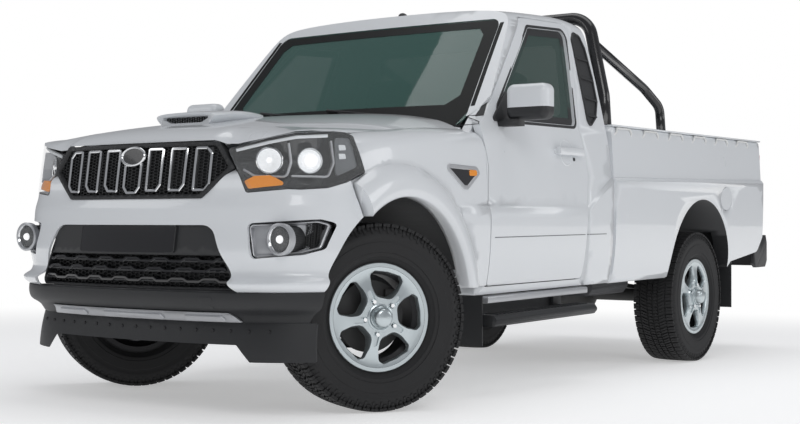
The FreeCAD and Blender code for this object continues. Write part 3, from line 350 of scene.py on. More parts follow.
# filled plate on a surface: chamfered rim, and an inner grid so that it bends with the surface
def plateOn(place, outline, front, back, chamfer=0.001, shape=None, rows=1):
    shape = shape or bmesh.new()
    outline = [Vector(point) for point in outline]
    middle = sum(outline, Vector((0, 0))) / len(outline)
    count = len(outline)
    levels = [(0, back), (0, front - chamfer), (chamfer, front)]
    rings = []
    for inward, lift in levels:
        ring = []
        for point in outline:
            toMiddle = middle - point
            flat = point + toMiddle.normalized() * inward if toMiddle.length > 0 else point
            ring.append(shape.verts.new(place(flat.x, flat.y, lift)))
        rings.append(ring)
    for row in range(1, rows + 1):
        share = row / (rows + 1)
        rings.append([shape.verts.new(place(*(point.lerp(middle, share)), front)) for point in outline])
    for low, high in zip(rings, rings[1:]):
        for i in range(count):
            j = (i + 1) % count
            shape.faces.new((low[i], low[j], high[j], high[i]))
    tip = shape.verts.new(place(middle.x, middle.y, front))
    for i in range(count):
        shape.faces.new((rings[-1][i], rings[-1][(i + 1) % count], tip))
    shape.faces.new(rings[0][::-1])
    return shape


# round bar along points, closed by flat caps; one radius or one for each point
def tubeAlong(points, radius, sides, shape=None):
    shape = shape or bmesh.new()
    points = [Vector(point) for point in points]
    count = len(points)
    radii = radius if isinstance(radius, (list, tuple)) else [radius] * count
    rings = []
    normal = None
    for index in range(count):
        before, after = points[max(index - 1, 0)], points[min(index + 1, count - 1)]
        along = (after - before).normalized()
        if normal is None:
            level = along.cross(Vector((0, 0, 1)))
            normal = (along.orthogonal() if abs(along.z) > 0.9 else level).normalized()
        normal = (normal - along * normal.dot(along)).normalized()
        side = along.cross(normal)
        ring = []
        for i in range(sides):
            angle = math.tau * i / sides
            ring.append(shape.verts.new(
                points[index] + (normal * math.cos(angle) + side * math.sin(angle)) * radii[index]))
        rings.append(ring)
    for here, there in zip(rings, rings[1:]):
        for i in range(sides):
            j = (i + 1) % sides
            shape.faces.new((here[i], here[j], there[j], there[i]))
    shape.faces.new(rings[0][::-1])
    shape.faces.new(rings[-1])
    return shape


# closed profile of (along the axle, radius) turned about the X axis
def latheShape(profile, steps):
    shape = bmesh.new()
    rings = []
    for step in range(steps):
        angle = math.tau * step / steps
        rings.append([shape.verts.new((x, -radius * math.sin(angle), radius * math.cos(angle)))
                      for x, radius in profile])
    size = len(profile)
    for here, there in zip(rings, rings[1:] + rings[:1]):
        for i in range(size):
            j = (i + 1) % size
            shape.faces.new((here[i], here[j], there[j], there[i]))
    bmesh.ops.remove_doubles(shape, verts=shape.verts, dist=0.00001)
    return shape


# block with chamfered edges, as corners low and high
def softBlock(low, high, chamfer, segments=1):
    part = bmesh.new()
    bmesh.ops.create_cube(part, size=1)
    size = Vector(high) - Vector(low)
    centre = (Vector(high) + Vector(low)) / 2
    bmesh.ops.transform(part, matrix=Matrix.Translation(centre) @ Matrix.Diagonal((*size, 1)),
                        verts=part.verts)
    bmesh.ops.bevel(part, geom=part.edges[:] + part.verts[:], offset=min(chamfer, min(size) * 0.45),
                    segments=segments, affect="EDGES", profile=0.5)
    return part


# second shape's faces added to the first, with a material index
def mergeShape(shape, part, materialIndex=None):
    if materialIndex is not None:
        for face in part.faces:
            face.material_index = materialIndex
    keep = bpy.data.meshes.new("keep")
    part.to_mesh(keep)
    part.free()
    shape.from_mesh(keep)
    bpy.data.meshes.remove(keep)
    return shape


def movedShape(shape, matrix):
    bmesh.ops.transform(shape, matrix=matrix, verts=shape.verts)
    return shape


# Geometry Nodes: one item copied to every point, turned and sized by the points' attributes
def copyTree():
    tree = bpy.data.node_groups.new("copiesOnPoints", "GeometryNodeTree")
    face = tree.interface
    face.new_socket("Points", in_out="INPUT", socket_type="NodeSocketGeometry")
    face.new_socket("Item", in_out="INPUT", socket_type="NodeSocketObject")
    face.new_socket("Item Size", in_out="INPUT", socket_type="NodeSocketFloat")
    face.new_socket("Finish", in_out="INPUT", socket_type="NodeSocketMaterial")
    face.new_socket("Copies", in_out="OUTPUT", socket_type="NodeSocketGeometry")
    entry = tree.nodes.new("NodeGroupInput")
    leave = tree.nodes.new("NodeGroupOutput")
    item = tree.nodes.new("GeometryNodeObjectInfo")
    place = tree.nodes.new("GeometryNodeInstanceOnPoints")
    turn = tree.nodes.new("GeometryNodeInputNamedAttribute")
    turn.data_type = "FLOAT_VECTOR"
    turn.inputs["Name"].default_value = "turn"
    turnAsRotation = tree.nodes.new("FunctionNodeEulerToRotation")
    size = tree.nodes.new("GeometryNodeInputNamedAttribute")
    size.data_type = "FLOAT_VECTOR"
    size.inputs["Name"].default_value = "size"
    scale = tree.nodes.new("ShaderNodeVectorMath")
    scale.operation = "SCALE"
    realize = tree.nodes.new("GeometryNodeRealizeInstances")
    paint = tree.nodes.new("GeometryNodeSetMaterial")
    linkNodes(tree, (
        (entry.outputs["Item"], item.inputs["Object"]),
        (entry.outputs["Points"], place.inputs["Points"]),
        (item.outputs["Geometry"], place.inputs["Instance"]),
        (turn.outputs["Attribute"], turnAsRotation.inputs["Euler"]),
        (turnAsRotation.outputs["Rotation"], place.inputs["Rotation"]),
        (size.outputs["Attribute"], scale.inputs[0]),
        (entry.outputs["Item Size"], scale.inputs["Scale"]),
        (scale.outputs["Vector"], place.inputs["Scale"]),
        (place.outputs["Instances"], realize.inputs["Geometry"]),
        (realize.outputs["Geometry"], paint.inputs["Geometry"]),
        (entry.outputs["Finish"], paint.inputs["Material"]),
        (paint.outputs["Geometry"], leave.inputs["Copies"]),
    ))
    return tree


copiesOnPoints = copyTree()


# places: (point, (turn x, y, z)) or with a size triple; item: a bmesh about the origin
def copiesMesh(name, item, places, material, size=1.0):
    itemMesh = bpy.data.meshes.new(name + "Item")
    bmesh.ops.recalc_face_normals(item, faces=item.faces)
    item.to_mesh(itemMesh)
    item.free()
    itemObject = bpy.data.objects.new(name + "Item", itemMesh)
    points = bpy.data.meshes.new(name + "Points")
    points.from_pydata([tuple(place[0]) for place in places], [], [])
    turns = points.attributes.new("turn", "FLOAT_VECTOR", "POINT")
    sizes = points.attributes.new("size", "FLOAT_VECTOR", "POINT")
    for index, place in enumerate(places):
        turns.data[index].vector = place[1]
        sizes.data[index].vector = place[2] if len(place) > 2 else (1, 1, 1)
    holder = bpy.data.objects.new(name + "Holder", points)
    bpy.context.scene.collection.objects.link(holder)
    bpy.context.scene.collection.objects.link(itemObject)
    modifier = holder.modifiers.new("copies", "NODES")
    modifier.node_group = copiesOnPoints
    values = {"Item": itemObject, "Item Size": size, "Finish": finish[material]}
    for socket in copiesOnPoints.interface.items_tree:
        if socket.in_out == "INPUT" and socket.name in values:
            modifier[socket.identifier] = values[socket.name]
    bpy.context.view_layer.update()
    evaluated = holder.evaluated_get(bpy.context.evaluated_depsgraph_get())
    mesh = bpy.data.meshes.new_from_object(evaluated)
    holder.modifiers.clear()
    bpy.data.objects.remove(holder)
    bpy.data.objects.remove(itemObject)
    mesh.name = name
    for attribute in ("turn", "size"):
        if attribute in mesh.attributes:
            mesh.attributes.remove(mesh.attributes[attribute])
    return mesh


def placeCopies(name, item, places, material, body, angle=32):
    mesh = copiesMesh(name, item, places, material)
    obj = bpy.data.objects.new(name, mesh)
    bpy.context.scene.collection.objects.link(obj)
    finishMesh(obj, [material], angle)
    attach(obj, body)
    return obj


# which finish each node takes, and the record's slot for it
nodeFinish = {
    "whitePaint": ("white_paint", ["cab_shell", "door_left", "door_right", "fender_left", "fender_right",
                                   "bonnet", "front_bumper", "tailgate", "fuel_flap"]),
    "blackPlastic": ("black_plastic", ["grille", "lower_grille", "lower_bumper", "valance", "side_steps",
                                       "mudflaps", "arch_liners"]),
    "darkTrim": ("black_plastic", ["dashboard", "fuel_tank"]),
    "silverPlastic": ("silver_plastic", ["skid_garnish"]),
    "screenGlass": ("window_glass", ["cab_glass"]),
    "sideGlass": ("window_glass", ["door_glass_left", "door_glass_right"]),
    "blackSteel": ("black_steel", ["radiator_panel", "rear_bumper", "chassis_frame", "exhaust"]),
    "castSteel": ("cast_steel", ["rear_axle", "engine_block", "driveline", "front_suspension", "knuckle_left",
                                 "knuckle_right"]),
    "lensRed": ("red_lens", ["tail_lamps"]),
    "glossBar": ("black_paint", ["sports_bar"]),
}
for finishName, (slotName, members) in nodeFinish.items():
    for member in members:
        dressNode(member, [finishName])


# inside the rear arches and under the floor the tub is dark
def tubFace(centre, normal):
    radius = math.hypot(centre.y - truck["rearArch"][0], centre.z - truck["rearArch"][1])
    inArch = radius < truck["archReach"] and abs(centre.x) < truck["archHalf"] and centre.z < truck["archTop"]
    half, top = truck["underTub"]
    return 1 if inArch or (centre.z < top and abs(centre.x) < half) else 0


# fog lamps: the can is dark, the plate round it silver inboard and black outboard
def fogFace(centre, normal):
    x, z = truck["fogCan"]
    inCan = math.hypot(abs(centre.x) - x, centre.z - z) < truck["fogCanRadius"]
    return 1 if abs(centre.x) > truck["fogSilverEnd"] or inCan else 0


dressNode("load_tub", ["whitePaint", "blackPlastic"], faceMaterial=tubFace)
dressNode("fog_lamps", ["silverPlastic", "blackPlastic"], faceMaterial=fogFace)
print("nodes dressed")


# wheels: one tyre and one face are made about the axle, outboard towards +X, then set at each hub
def hubMatrix(end, side):
    height = truck["hubHeight"]
    if end == "rear":
        place = Matrix.Translation((truck["track"] / 2 * side, truck["wheelbase"], height))
    else:
        angle = -truck["steerLeft"] if side > 0 else -truck["steerRight"]
        pin = truck["kingpin"] * side
        place = (Matrix.Translation((pin, 0, 0)) @ Matrix.Rotation(math.radians(angle), 4, "Z")
                 @ Matrix.Translation((truck["track"] / 2 * side - pin, 0, height)))
    return rowShift @ place @ (mirrorX if side < 0 else Matrix.Identity(4))


hubs = [(end, side, sideName) for end in ("front", "rear") for side, sideName in ((1, "left"), (-1, "right"))]


def setAtHubs(name, mesh, materials, angle=32, replace=None, turns=None):
    for end, side, sideName in hubs:
        body = "%s_%s_wheel" % (end, sideName)
        copy = mesh.copy()
        matrix = hubMatrix(end, side)
        if turns:
            matrix = matrix @ Matrix.Rotation(math.radians(turns[end]), 4, "X")
        copy.transform(matrix)
        if side < 0:
            copy.flip_normals()
        obj = bpy.data.objects.new("%s_%s_%s" % (name, end, sideName), copy)
        bpy.context.scene.collection.objects.link(obj)
        finishMesh(obj, materials, angle)
        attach(obj, body)
        if replace:
            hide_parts("%s_%s_%s" % (replace, end, sideName))
    bpy.data.meshes.remove(mesh)


tyre = {
    "radius": 0.383, "grooveRadius": 0.3735, "crown": 0.004, "pitches": 62, "gap": 0.007, "sipe": 0.0012,
    # shoulder, middle and centre blocks: where the sipe splits them, then (across, share of the half, shift)
    "blocks": [
        (0.48, [(0.081, 0, 0.003), (0.100, 0, 0), (0.1165, 0, 0), (0.1165, 1, 0), (0.097, 1, 0),
                (0.078, 1, 0.003)]),
        (0.50, [(0.036, 0, 0.016), (0.050, 0, 0.011), (0.072, 0, 0), (0.075, 0.5, 0.002), (0.070, 1, 0),
                (0.052, 1, 0.007), (0.034, 1, 0.014)]),
        (0.50, [(0.004, 0, 0.004), (0.020, 0, -0.002), (0.030, 0, 0.004), (0.028, 1, -0.001),
                (0.018, 1, -0.004), (0.003, 1, 0)]),
    ],
    # lugs that run down over the shoulder: start and end along the pitch, inner radius
    "lugs": [((0.001, 0), (0, 0.42), 0.340), ((0, 0.52), (0, 1), 0.351)],
}
tyreOuter = [(0.095, 0.2063), (0.095, 0.226), (0.1, 0.231), (0.110, 0.241), (0.1125, 0.244), (0.1165, 0.2455),
             (0.1185, 0.249), (0.1185, 0.262), (0.1215, 0.264), (0.1225, 0.28), (0.1235, 0.300),
             (0.1235, 0.304), (0.1220, 0.305), (0.1212, 0.323), (0.1220, 0.325), (0.1190, 0.338),
             (0.1150, 0.350), (0.1080, 0.362), (0.1000, 0.369), (0.085, 0.3725), (0.045, 0.3738)]
tyreInner = [(0.045, 0.362), (0.085, 0.357), (0.100, 0.340), (0.110, 0.300), (0.104, 0.262), (0.086, 0.236),
             (0.080, 0.2063)]


def wallX(radius):
    for (x1, r1), (x2, r2) in zip(tyreOuter[7:], tyreOuter[8:]):
        if r1 <= radius <= r2:
            return x1 + (x2 - x1) * (radius - r1) / (r2 - r1)
    return tyreOuter[-1][0]


def treadPoint(x, run, radius):
    angle = run / tyre["radius"]
    return Vector((x, -radius * math.sin(angle), radius * math.cos(angle)))


def treadBlock(shape, outline, chamfer=0.0012):
    middle = sum((Vector(point) for point in outline), Vector((0, 0))) / len(outline)
    rings = []
    for inward, drop in ((0, None), (0, chamfer), (chamfer, 0)):
        ring = []
        for point in outline:
            point = Vector(point)
            flat = point + (middle - point).normalized() * inward
            top = tyre["radius"] - tyre["crown"] * (abs(flat.x) / 0.118) ** 3
            sunk = tyre["grooveRadius"] - 0.003 - 0.004 * (abs(flat.x) / 0.118) ** 3
            radius = sunk if drop is None else top - drop
            ring.append(shape.verts.new(treadPoint(flat.x, flat.y, radius)))
        rings.append(ring)
    count = len(outline)
    for low, high in zip(rings, rings[1:]):
        for i in range(count):
            j = (i + 1) % count
            shape.faces.new((low[i], low[j], high[j], high[i]))
    shape.faces.new(rings[-1])
    shape.faces.new(rings[0][::-1])


def treadPitch():
    shape = bmesh.new()
    pitch = math.tau * tyre["radius"] / tyre["pitches"]
    gap = tyre["gap"]
    long = pitch - gap
    sipe = tyre["sipe"]
    for sign in (1, -1):
        shift = pitch * (0.5 if sign < 0 else 0)
        for split, outline in tyre["blocks"]:
            for low, high in ((0, long * split - sipe), (long * split, long)):
                treadBlock(shape, [(sign * x, shift + low + (high - low) * share + along)
                                   for x, share, along in outline])
        for first, last, depth in tyre["lugs"]:
            start, end = (offset + long * share for offset, share in (first, last))
            ring = []
            top = []
            for radius in (0.3745, 0.362, depth):
                for run in ((start, end) if len(ring) % 4 == 0 else (end, start)):
                    base = wallX(radius) if radius < 0.372 else 0.107
                    ring.append(shape.verts.new(treadPoint(sign * (base - 0.003), shift + run, radius)))
                    narrow = 0.0015 if run == start else -0.0015
                    top.append(shape.verts.new(treadPoint(sign * (base + 0.0035), shift + run + narrow,
                                                          radius)))
            left = [0, 3, 4]
            right = [1, 2, 5]
            for side in (left, right):
                for a, b in zip(side, side[1:]):
                    shape.faces.new((ring[a], ring[b], top[b], top[a]))
            shape.faces.new((top[0], top[1], top[2], top[3]))
            shape.faces.new((top[3], top[2], top[5], top[4]))
            shape.faces.new((ring[0], ring[1], top[1], top[0]))
            shape.faces.new((ring[4], ring[5], top[5], top[4]))
            shape.faces.new((ring[3], ring[2], ring[1], ring[0]))
            shape.faces.new((ring[4], ring[5], ring[2], ring[3]))
    return shape


def makeTyres():
    profile = tyreOuter + [(-x, radius) for x, radius in tyreOuter[::-1]]
    profile += [(-x, radius) for x, radius in tyreInner[::-1]] + tyreInner
    carcass = latheShape(profile, 120)
    bmesh.ops.recalc_face_normals(carcass, faces=carcass.faces)
    places = [((0, 0, 0), (math.tau * index / tyre["pitches"], 0, 0)) for index in range(tyre["pitches"])]
    tread = copiesMesh("tread", treadPitch(), places, "rubber")
    carcass.from_mesh(tread)
    bpy.data.meshes.remove(tread)
    mesh = bpy.data.meshes.new("tyre")
    carcass.to_mesh(mesh)
    carcass.free()
    setAtHubs("tyreTread", mesh, ["rubber"], 40, replace="tyre")
    print("tyres made")


# the nose's face: its width as a curve, its height as a table
noseShape = {
    "half": 0.866, "sweep": 0.58,
    "share": ((0, 0), (0.288, 0.017), (0.484, 0.060), (0.611, 0.098), (0.714, 0.152), (0.806, 0.233),
              (0.893, 0.362), (0.950, 0.517), (0.985, 0.724), (1, 1)),
    "levels": ((0.384, -0.655), (0.404, -0.672), (0.426, -0.700), (0.445, -0.734), (0.470, -0.747),
               (0.505, -0.744), (0.560, -0.743), (0.640, -0.738), (0.720, -0.728), (0.790, -0.714),
               (0.850, -0.699), (0.900, -0.693), (0.950, -0.686), (1.000, -0.678), (1.050, -0.669),
               (1.100, -0.660), (1.150, -0.650)),
}
noseCurve = splinePoints([(-x * noseShape["half"], y * noseShape["sweep"], 0)
                          for x, y in noseShape["share"][:0:-1]]
                         + [(x * noseShape["half"], y * noseShape["sweep"], 0)
                            for x, y in noseShape["share"]], 400)


def noseLevel(z):
    levels = noseShape["levels"]
    for (z1, y1), (z2, y2) in zip(levels, levels[1:]):
        if z <= z2:
            return y1 + (y2 - y1) * (z - z1) / (z2 - z1)
    return levels[-1][1]


# (across, up, lift) on the nose to a point of the row
def nosePlace(x, z, lift=0.0):
    low, high = 0, len(noseCurve) - 1
    while high - low > 1:
        middle = (low + high) // 2
        if noseCurve[middle].x < x:
            low = middle
        else:
            high = middle
    a, b = noseCurve[low], noseCurve[high]
    share = (x - a.x) / (b.x - a.x)
    run = b - a
    normal = Vector((run.y, -run.x, 0)).normalized()
    back = a.y + (b.y - a.y) * share
    return bodyToRow @ (Vector((x, noseLevel(z) + back, z)) + normal * lift)


grilleTrim = {
    "frame": [(-0.418, 1.086), (0.418, 1.086), (0.497, 0.984), (0.362, 0.866), (-0.362, 0.866),
              (-0.497, 0.984)],
    "bracketPitch": 0.118, "bracketHalf": 0.038, "middleHalf": 0.046, "top": 1.068, "foot": 0.893,
    "cellWidth": 0.026, "cellHeight": 0.0125, "cellWall": 0.0022, "cellDepth": 0.008,
}


def bracketOutline(index):
    centre = index * grilleTrim["bracketPitch"]
    half = grilleTrim["bracketHalf"] if index else grilleTrim["middleHalf"]
    low = grilleTrim["foot"] if index else grilleTrim["foot"] - 0.008
    top = grilleTrim["top"]
    loop = [(centre - half, top), (centre + half, top), (centre + half, low + 0.025),
            (centre + half - 0.022, low), (centre - half + 0.022, low), (centre - half, low + 0.025)]
    if index > 0:
        loop = loop[:4] + [(centre - half, low)]
    if index < 0:
        loop = loop[:2] + [(centre + half, low)] + loop[4:]
    if abs(index) == 3:
        cut = 0.024
        if index > 0:
            loop = [loop[0], (centre + half - cut, top), (centre + half, top - cut)] + loop[2:]
        else:
            loop = [(centre - half, top - cut), (centre - half + cut, top)] + loop[1:]
    return loop


# hexagonal ring, drawn out sideways, facing -Y
def honeyCell(width, height, wall, depth):
    shape = bmesh.new()
    rings = []
    for inner in (0, wall):
        for y in (-depth / 2, depth / 2):
            w = width / 2 + 0.0002 - inner * 0.95
            h = height / 2 + 0.0002 - inner * 0.6
            rings.append([shape.verts.new((x, y, z)) for x, z in
                          ((w, 0), (w * 0.55, h), (-w * 0.55, h), (-w, 0), (-w * 0.55, -h), (w * 0.55, -h))])
    outerFront, outerBack, innerFront, innerBack = rings
    for i in range(6):
        j = (i + 1) % 6
        shape.faces.new((outerFront[i], outerFront[j], innerFront[j], innerFront[i]))
        shape.faces.new((innerFront[i], innerFront[j], innerBack[j], innerBack[i]))
        shape.faces.new((outerFront[j], outerFront[i], outerBack[i], outerBack[j]))
        shape.faces.new((innerBack[i], innerBack[j], outerBack[j], outerBack[i]))
    return shape


def insideOutline(point, outline, margin=0.0):
    count = len(outline)
    inside = False
    nearest = 9.0
    for i in range(count):
        a = Vector(outline[i][:2])
        b = Vector(outline[(i + 1) % count][:2])
        if (a.y > point.y) != (b.y > point.y) and point.x < (b.x - a.x) * (point.y - a.y) / (b.y - a.y) + a.x:
            inside = not inside
        along = b - a
        share = max(0, min(1, (point - a).dot(along) / along.length_squared))
        nearest = min(nearest, (a + along * share - point).length)
    return inside and nearest >= margin


# honeycomb cells over an outline on the nose, at one depth
def honeycomb(name, outline, depth, cellWidth, cellHeight, body="body", skip=None, place=None):
    place = place or nosePlace
    stepX = cellWidth * 0.775
    stepZ = cellHeight / 2
    xs = [point[0] for point in outline]
    zs = [point[1] for point in outline]
    places = []
    columns = int((max(xs) - min(xs)) / stepX) + 2
    rows = int((max(zs) - min(zs)) / cellHeight) + 2
    middle = (max(xs) + min(xs)) / 2
    for column in range(-columns // 2, columns // 2 + 1):
        for row in range(rows):
            x = middle + column * stepX
            z = min(zs) + row * cellHeight + (stepZ if column % 2 else 0)
            point = Vector((x, z))
            if not insideOutline(point, outline, 0.002) or (skip and skip(point)):
                continue
            here = place(x, z, -depth)
            beside = place(x + 0.005, z, -depth)
            turn = math.atan2(beside.y - here.y, beside.x - here.x)
            places.append((here, (0, 0, turn)))
    cell = honeyCell(cellWidth, cellHeight, grilleTrim["cellWall"], grilleTrim["cellDepth"])
    return placeCopies(name, cell, places, "blackPlastic", body)


def makeGrille():
    chromeSection = barSection(0.012, 0.0015, -0.016, 0.003)
    for index in range(-3, 4):
        loop = roundCorners(bracketOutline(index), 0.006, 3)
        centre = Vector((sum(p.x for p in loop) / len(loop), sum(p.y for p in loop) / len(loop)))
        inner = [point + (centre - point).normalized() * 0.0045 for point in loop]
        shape = bandOn(nosePlace, inner, chromeSection)
        addPiece("grilleBracket_%d" % (index + 4), shape, "body", ["chrome"])
    honeycomb("grilleMesh", [(x * 0.97, 0.976 + (z - 0.976) * 0.93) for x, z in grilleTrim["frame"]],
              0.013, grilleTrim["cellWidth"], grilleTrim["cellHeight"])
    print("grille made")


# lower nose: blank plate on its panel, slats with mesh, tow cover, pads and bolts
lowerNose = {
    "plate": [(-0.26, 0.655), (0.26, 0.655), (0.26, 0.760), (-0.26, 0.760)],
    "slatLevels": [0.626, 0.588, 0.548], "slatHalf": [0.475, 0.495, 0.512], "slatWave": 0.005,
    "boltRow": 0.352, "boltCount": 17, "boltReach": 0.62,
    "intake": [(-0.528, 0.522), (0.528, 0.522), (0.470, 0.640), (-0.470, 0.640)],
    "intakeDepth": 0.045, "intakeCell": (0.030, 0.014),
    "pads": ((-0.46, -0.27), (-0.17, 0.17), (0.27, 0.46)), "padLevels": (0.394, 0.414), "padSlant": 0.012,
    "towCover": [(0.385, 0.440), (0.445, 0.440), (0.445, 0.486), (0.385, 0.486)],
}


def makeLowerNose():
    plate = gridPlate(nosePlace, lowerNose["plate"][0], lowerNose["plate"][2], -0.003, -0.013, 32, 4)
    addPiece("numberPlate", plate, "body", ["glossBlack"])
    rim = bandOn(nosePlace, roundCorners(lowerNose["plate"], 0.012),
                 barSection(0.005, -0.001, -0.011, 0.0012))
    addPiece("plateRim", rim, "body", ["blackPlastic"])
    for index, (level, half) in enumerate(zip(lowerNose["slatLevels"], lowerNose["slatHalf"])):
        path = []
        for step in range(121):
            x = -half + 2 * half * step / 120
            wave = max(-1, min(1, 3 * math.sin(x * 42 + index * 1.3)))
            path.append((x, level + lowerNose["slatWave"] * wave))
        slat = bandOn(nosePlace, path, barSection(0.011, -0.012, -0.050, 0.002), closed=False)
        addPiece("intakeSlat_%d" % index, slat, "body", ["glossBlack"])
    honeycomb("intakeMesh", lowerNose["intake"], lowerNose["intakeDepth"], *lowerNose["intakeCell"])
    bolt = bmesh.new()
    bmesh.ops.create_cone(bolt, segments=10, radius1=0.008, radius2=0.006, depth=0.005, cap_ends=True)
    movedShape(bolt, Matrix.Rotation(math.pi / 2, 4, "X"))
    front = surfaceMap(["valance"], "y")
    places = []
    for index in range(lowerNose["boltCount"]):
        x = lowerNose["boltReach"] * (2 * index / (lowerNose["boltCount"] - 1) - 1)
        places.append((front(x, lowerNose["boltRow"], 0.001), (0, 0, 0)))
    placeCopies("valanceBolts", bolt, places, "blackSteel", "body")
    garnish = surfaceMap(["skid_garnish"], "y")
    foot, top = lowerNose["padLevels"]
    slant = lowerNose["padSlant"]
    for index, (low, high) in enumerate(lowerNose["pads"]):
        outline = roundCorners([(low, foot), (high, foot), (high - slant, top), (low + slant, top)], 0.004, 2)
        pad = plateOn(garnish, outline, 0.008, -0.002, 0.003)
        addPiece("skidPad_%d" % index, pad, "body", ["silverPlastic"])
    lower = surfaceMap(["lower_bumper"], "y")
    cover = roundCorners(lowerNose["towCover"], 0.006, 3)
    addPiece("towCover", plateOn(lower, cover, 0.002, -0.004, 0.001), "body",
             ["blackPlastic"])
    print("lower nose made")


# lamps on the corners: places are (along the corner, up, depth behind the lens)
lamp = {
    "outline": [(-0.117, 1.056), (0.030, 1.093), (0.138, 1.114), (0.283, 1.122), (0.333, 1.119),
                (0.366, 1.106), (0.392, 1.044), (0.416, 0.966), (0.335, 0.925), (0.257, 0.903),
                (0.151, 0.897), (0.105, 0.899), (-0.052, 0.886), (-0.088, 0.984)],
    "depth": 0.085, "lensThickness": 0.003, "half": math.radians(45),
    "innerBowl": (0.040, 1.010, 0.048), "outerBowl": (0.195, 1.008, 0.050),
    "lightBar": [(-0.085, 1.050), (0.034, 1.078), (0.140, 1.098), (0.262, 1.104)],
    "dividers": [[(-0.06, 0.975), (-0.02, 0.950), (0.10, 0.945), (0.118, 1.0), (0.110, 1.075)],
                 [(0.118, 0.948), (0.262, 0.945), (0.285, 1.0), (0.275, 1.085)]],
    "outerField": [(0.292, 0.945), (0.385, 0.985), (0.368, 1.060), (0.350, 1.098), (0.290, 1.098)],
    "smallLight": [(0.308, 0), (0.338, 0.002), (0.334, 0.022), (0.306, 0.022)],
    "smallLevels": (1.014, 1.048),
    "amber": [(-0.044, 0.900), (0.020, 0.907), (0.104, 0.915), (0.060, 0.941), (0.036, 0.952),
              (-0.020, 0.950), (-0.060, 0.930)],
}
cornerOut = Vector((math.sin(lamp["half"]), -math.cos(lamp["half"]), 0))
cornerAlong = Vector((math.cos(lamp["half"]), math.sin(lamp["half"]), 0))
lampTree = None


def lampTreeMade():
    mesh = cadNodes["headlamps"].data
    points = [rowToBody @ vertex.co for vertex in mesh.vertices]
    return BVHTree.FromPolygons(points, [list(polygon.vertices) for polygon in mesh.polygons])


# (along the corner, up, lift) on the left lamp's front
def cornerPlace(along, up, lift=0.0):
    origin = cornerAlong * along + cornerOut * 2 + Vector((0, 0, up))
    hit = lampTree.ray_cast(origin, -cornerOut)[0]
    if hit is None:
        hit = lampTree.find_nearest(cornerAlong * along + cornerOut * 0.78 + Vector((0, 0, up)))[0]
    return bodyToRow @ (hit + cornerOut * lift)


def grownOutline(outline, distance):
    count = len(outline)
    area = sum(outline[i][0] * outline[(i + 1) % count][1] - outline[(i + 1) % count][0] * outline[i][1]
               for i in range(count))
    turn = 1 if area > 0 else -1
    moved = []
    for i in range(count):
        before, here, after = (Vector(outline[j % count][:2]) for j in (i - 1, i, i + 1))
        first = (here - before).normalized()
        second = (after - here).normalized()
        firstNormal = Vector((first.y, -first.x)) * turn
        secondNormal = Vector((second.y, -second.x)) * turn
        moved.append(here + (firstNormal + secondNormal) * distance / (1 + firstNormal.dot(secondNormal)))
    return moved


# left and right copies of a shape made for the left side
def addPair(name, shape, body, materials, angle=32):
    bmesh.ops.recalc_face_normals(shape, faces=shape.faces)
    mesh = bpy.data.meshes.new(name)
    shape.to_mesh(mesh)
    shape.free()
    bodies = body if isinstance(body, tuple) else (body, body)
    for side, owner in zip(("left", "right"), bodies):
        copy = mesh.copy()
        if side == "right":
            copy.transform(mirrorX)
            copy.flip_normals()
        obj = bpy.data.objects.new(name + "_" + side, copy)
        bpy.context.scene.collection.objects.link(obj)
        finishMesh(obj, materials, angle)
        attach(obj, owner)
    bpy.data.meshes.remove(mesh)


# bowl facing the corner's direction, its rim at a depth behind the lens
def lampBowl(place, radius, depth, facets=28):
    profile = [(0, radius + 0.003), (0.002, radius), (-depth * 0.3, radius * 0.93),
               (-depth * 0.7, radius * 0.68), (-depth, radius * 0.25), (-depth, 0.0001),
               (-depth - 0.002, 0.0001), (-depth - 0.002, radius * 0.3), (-depth * 0.7, radius * 0.75),
               (-depth * 0.3, radius + 0.003)]
    shape = latheShape(profile, facets)
    along, up, behind = place
    centre = rowToBody @ cornerPlace(along, up, -behind)
    facing = cornerOut.to_track_quat("X", "Z").to_matrix().to_4x4()
    return movedShape(shape, bodyToRow @ Matrix.Translation(centre) @ facing)


def ballAt(place, radius, squash=1.0, push=0.0):
    shape = bmesh.new()
    bmesh.ops.create_uvsphere(shape, u_segments=20, v_segments=12, radius=radius)
    along, up, behind = place
    centre = rowToBody @ cornerPlace(along, up, -behind + push)
    return movedShape(shape, bodyToRow @ Matrix.Translation(centre) @ Matrix.Scale(squash, 4, cornerOut))


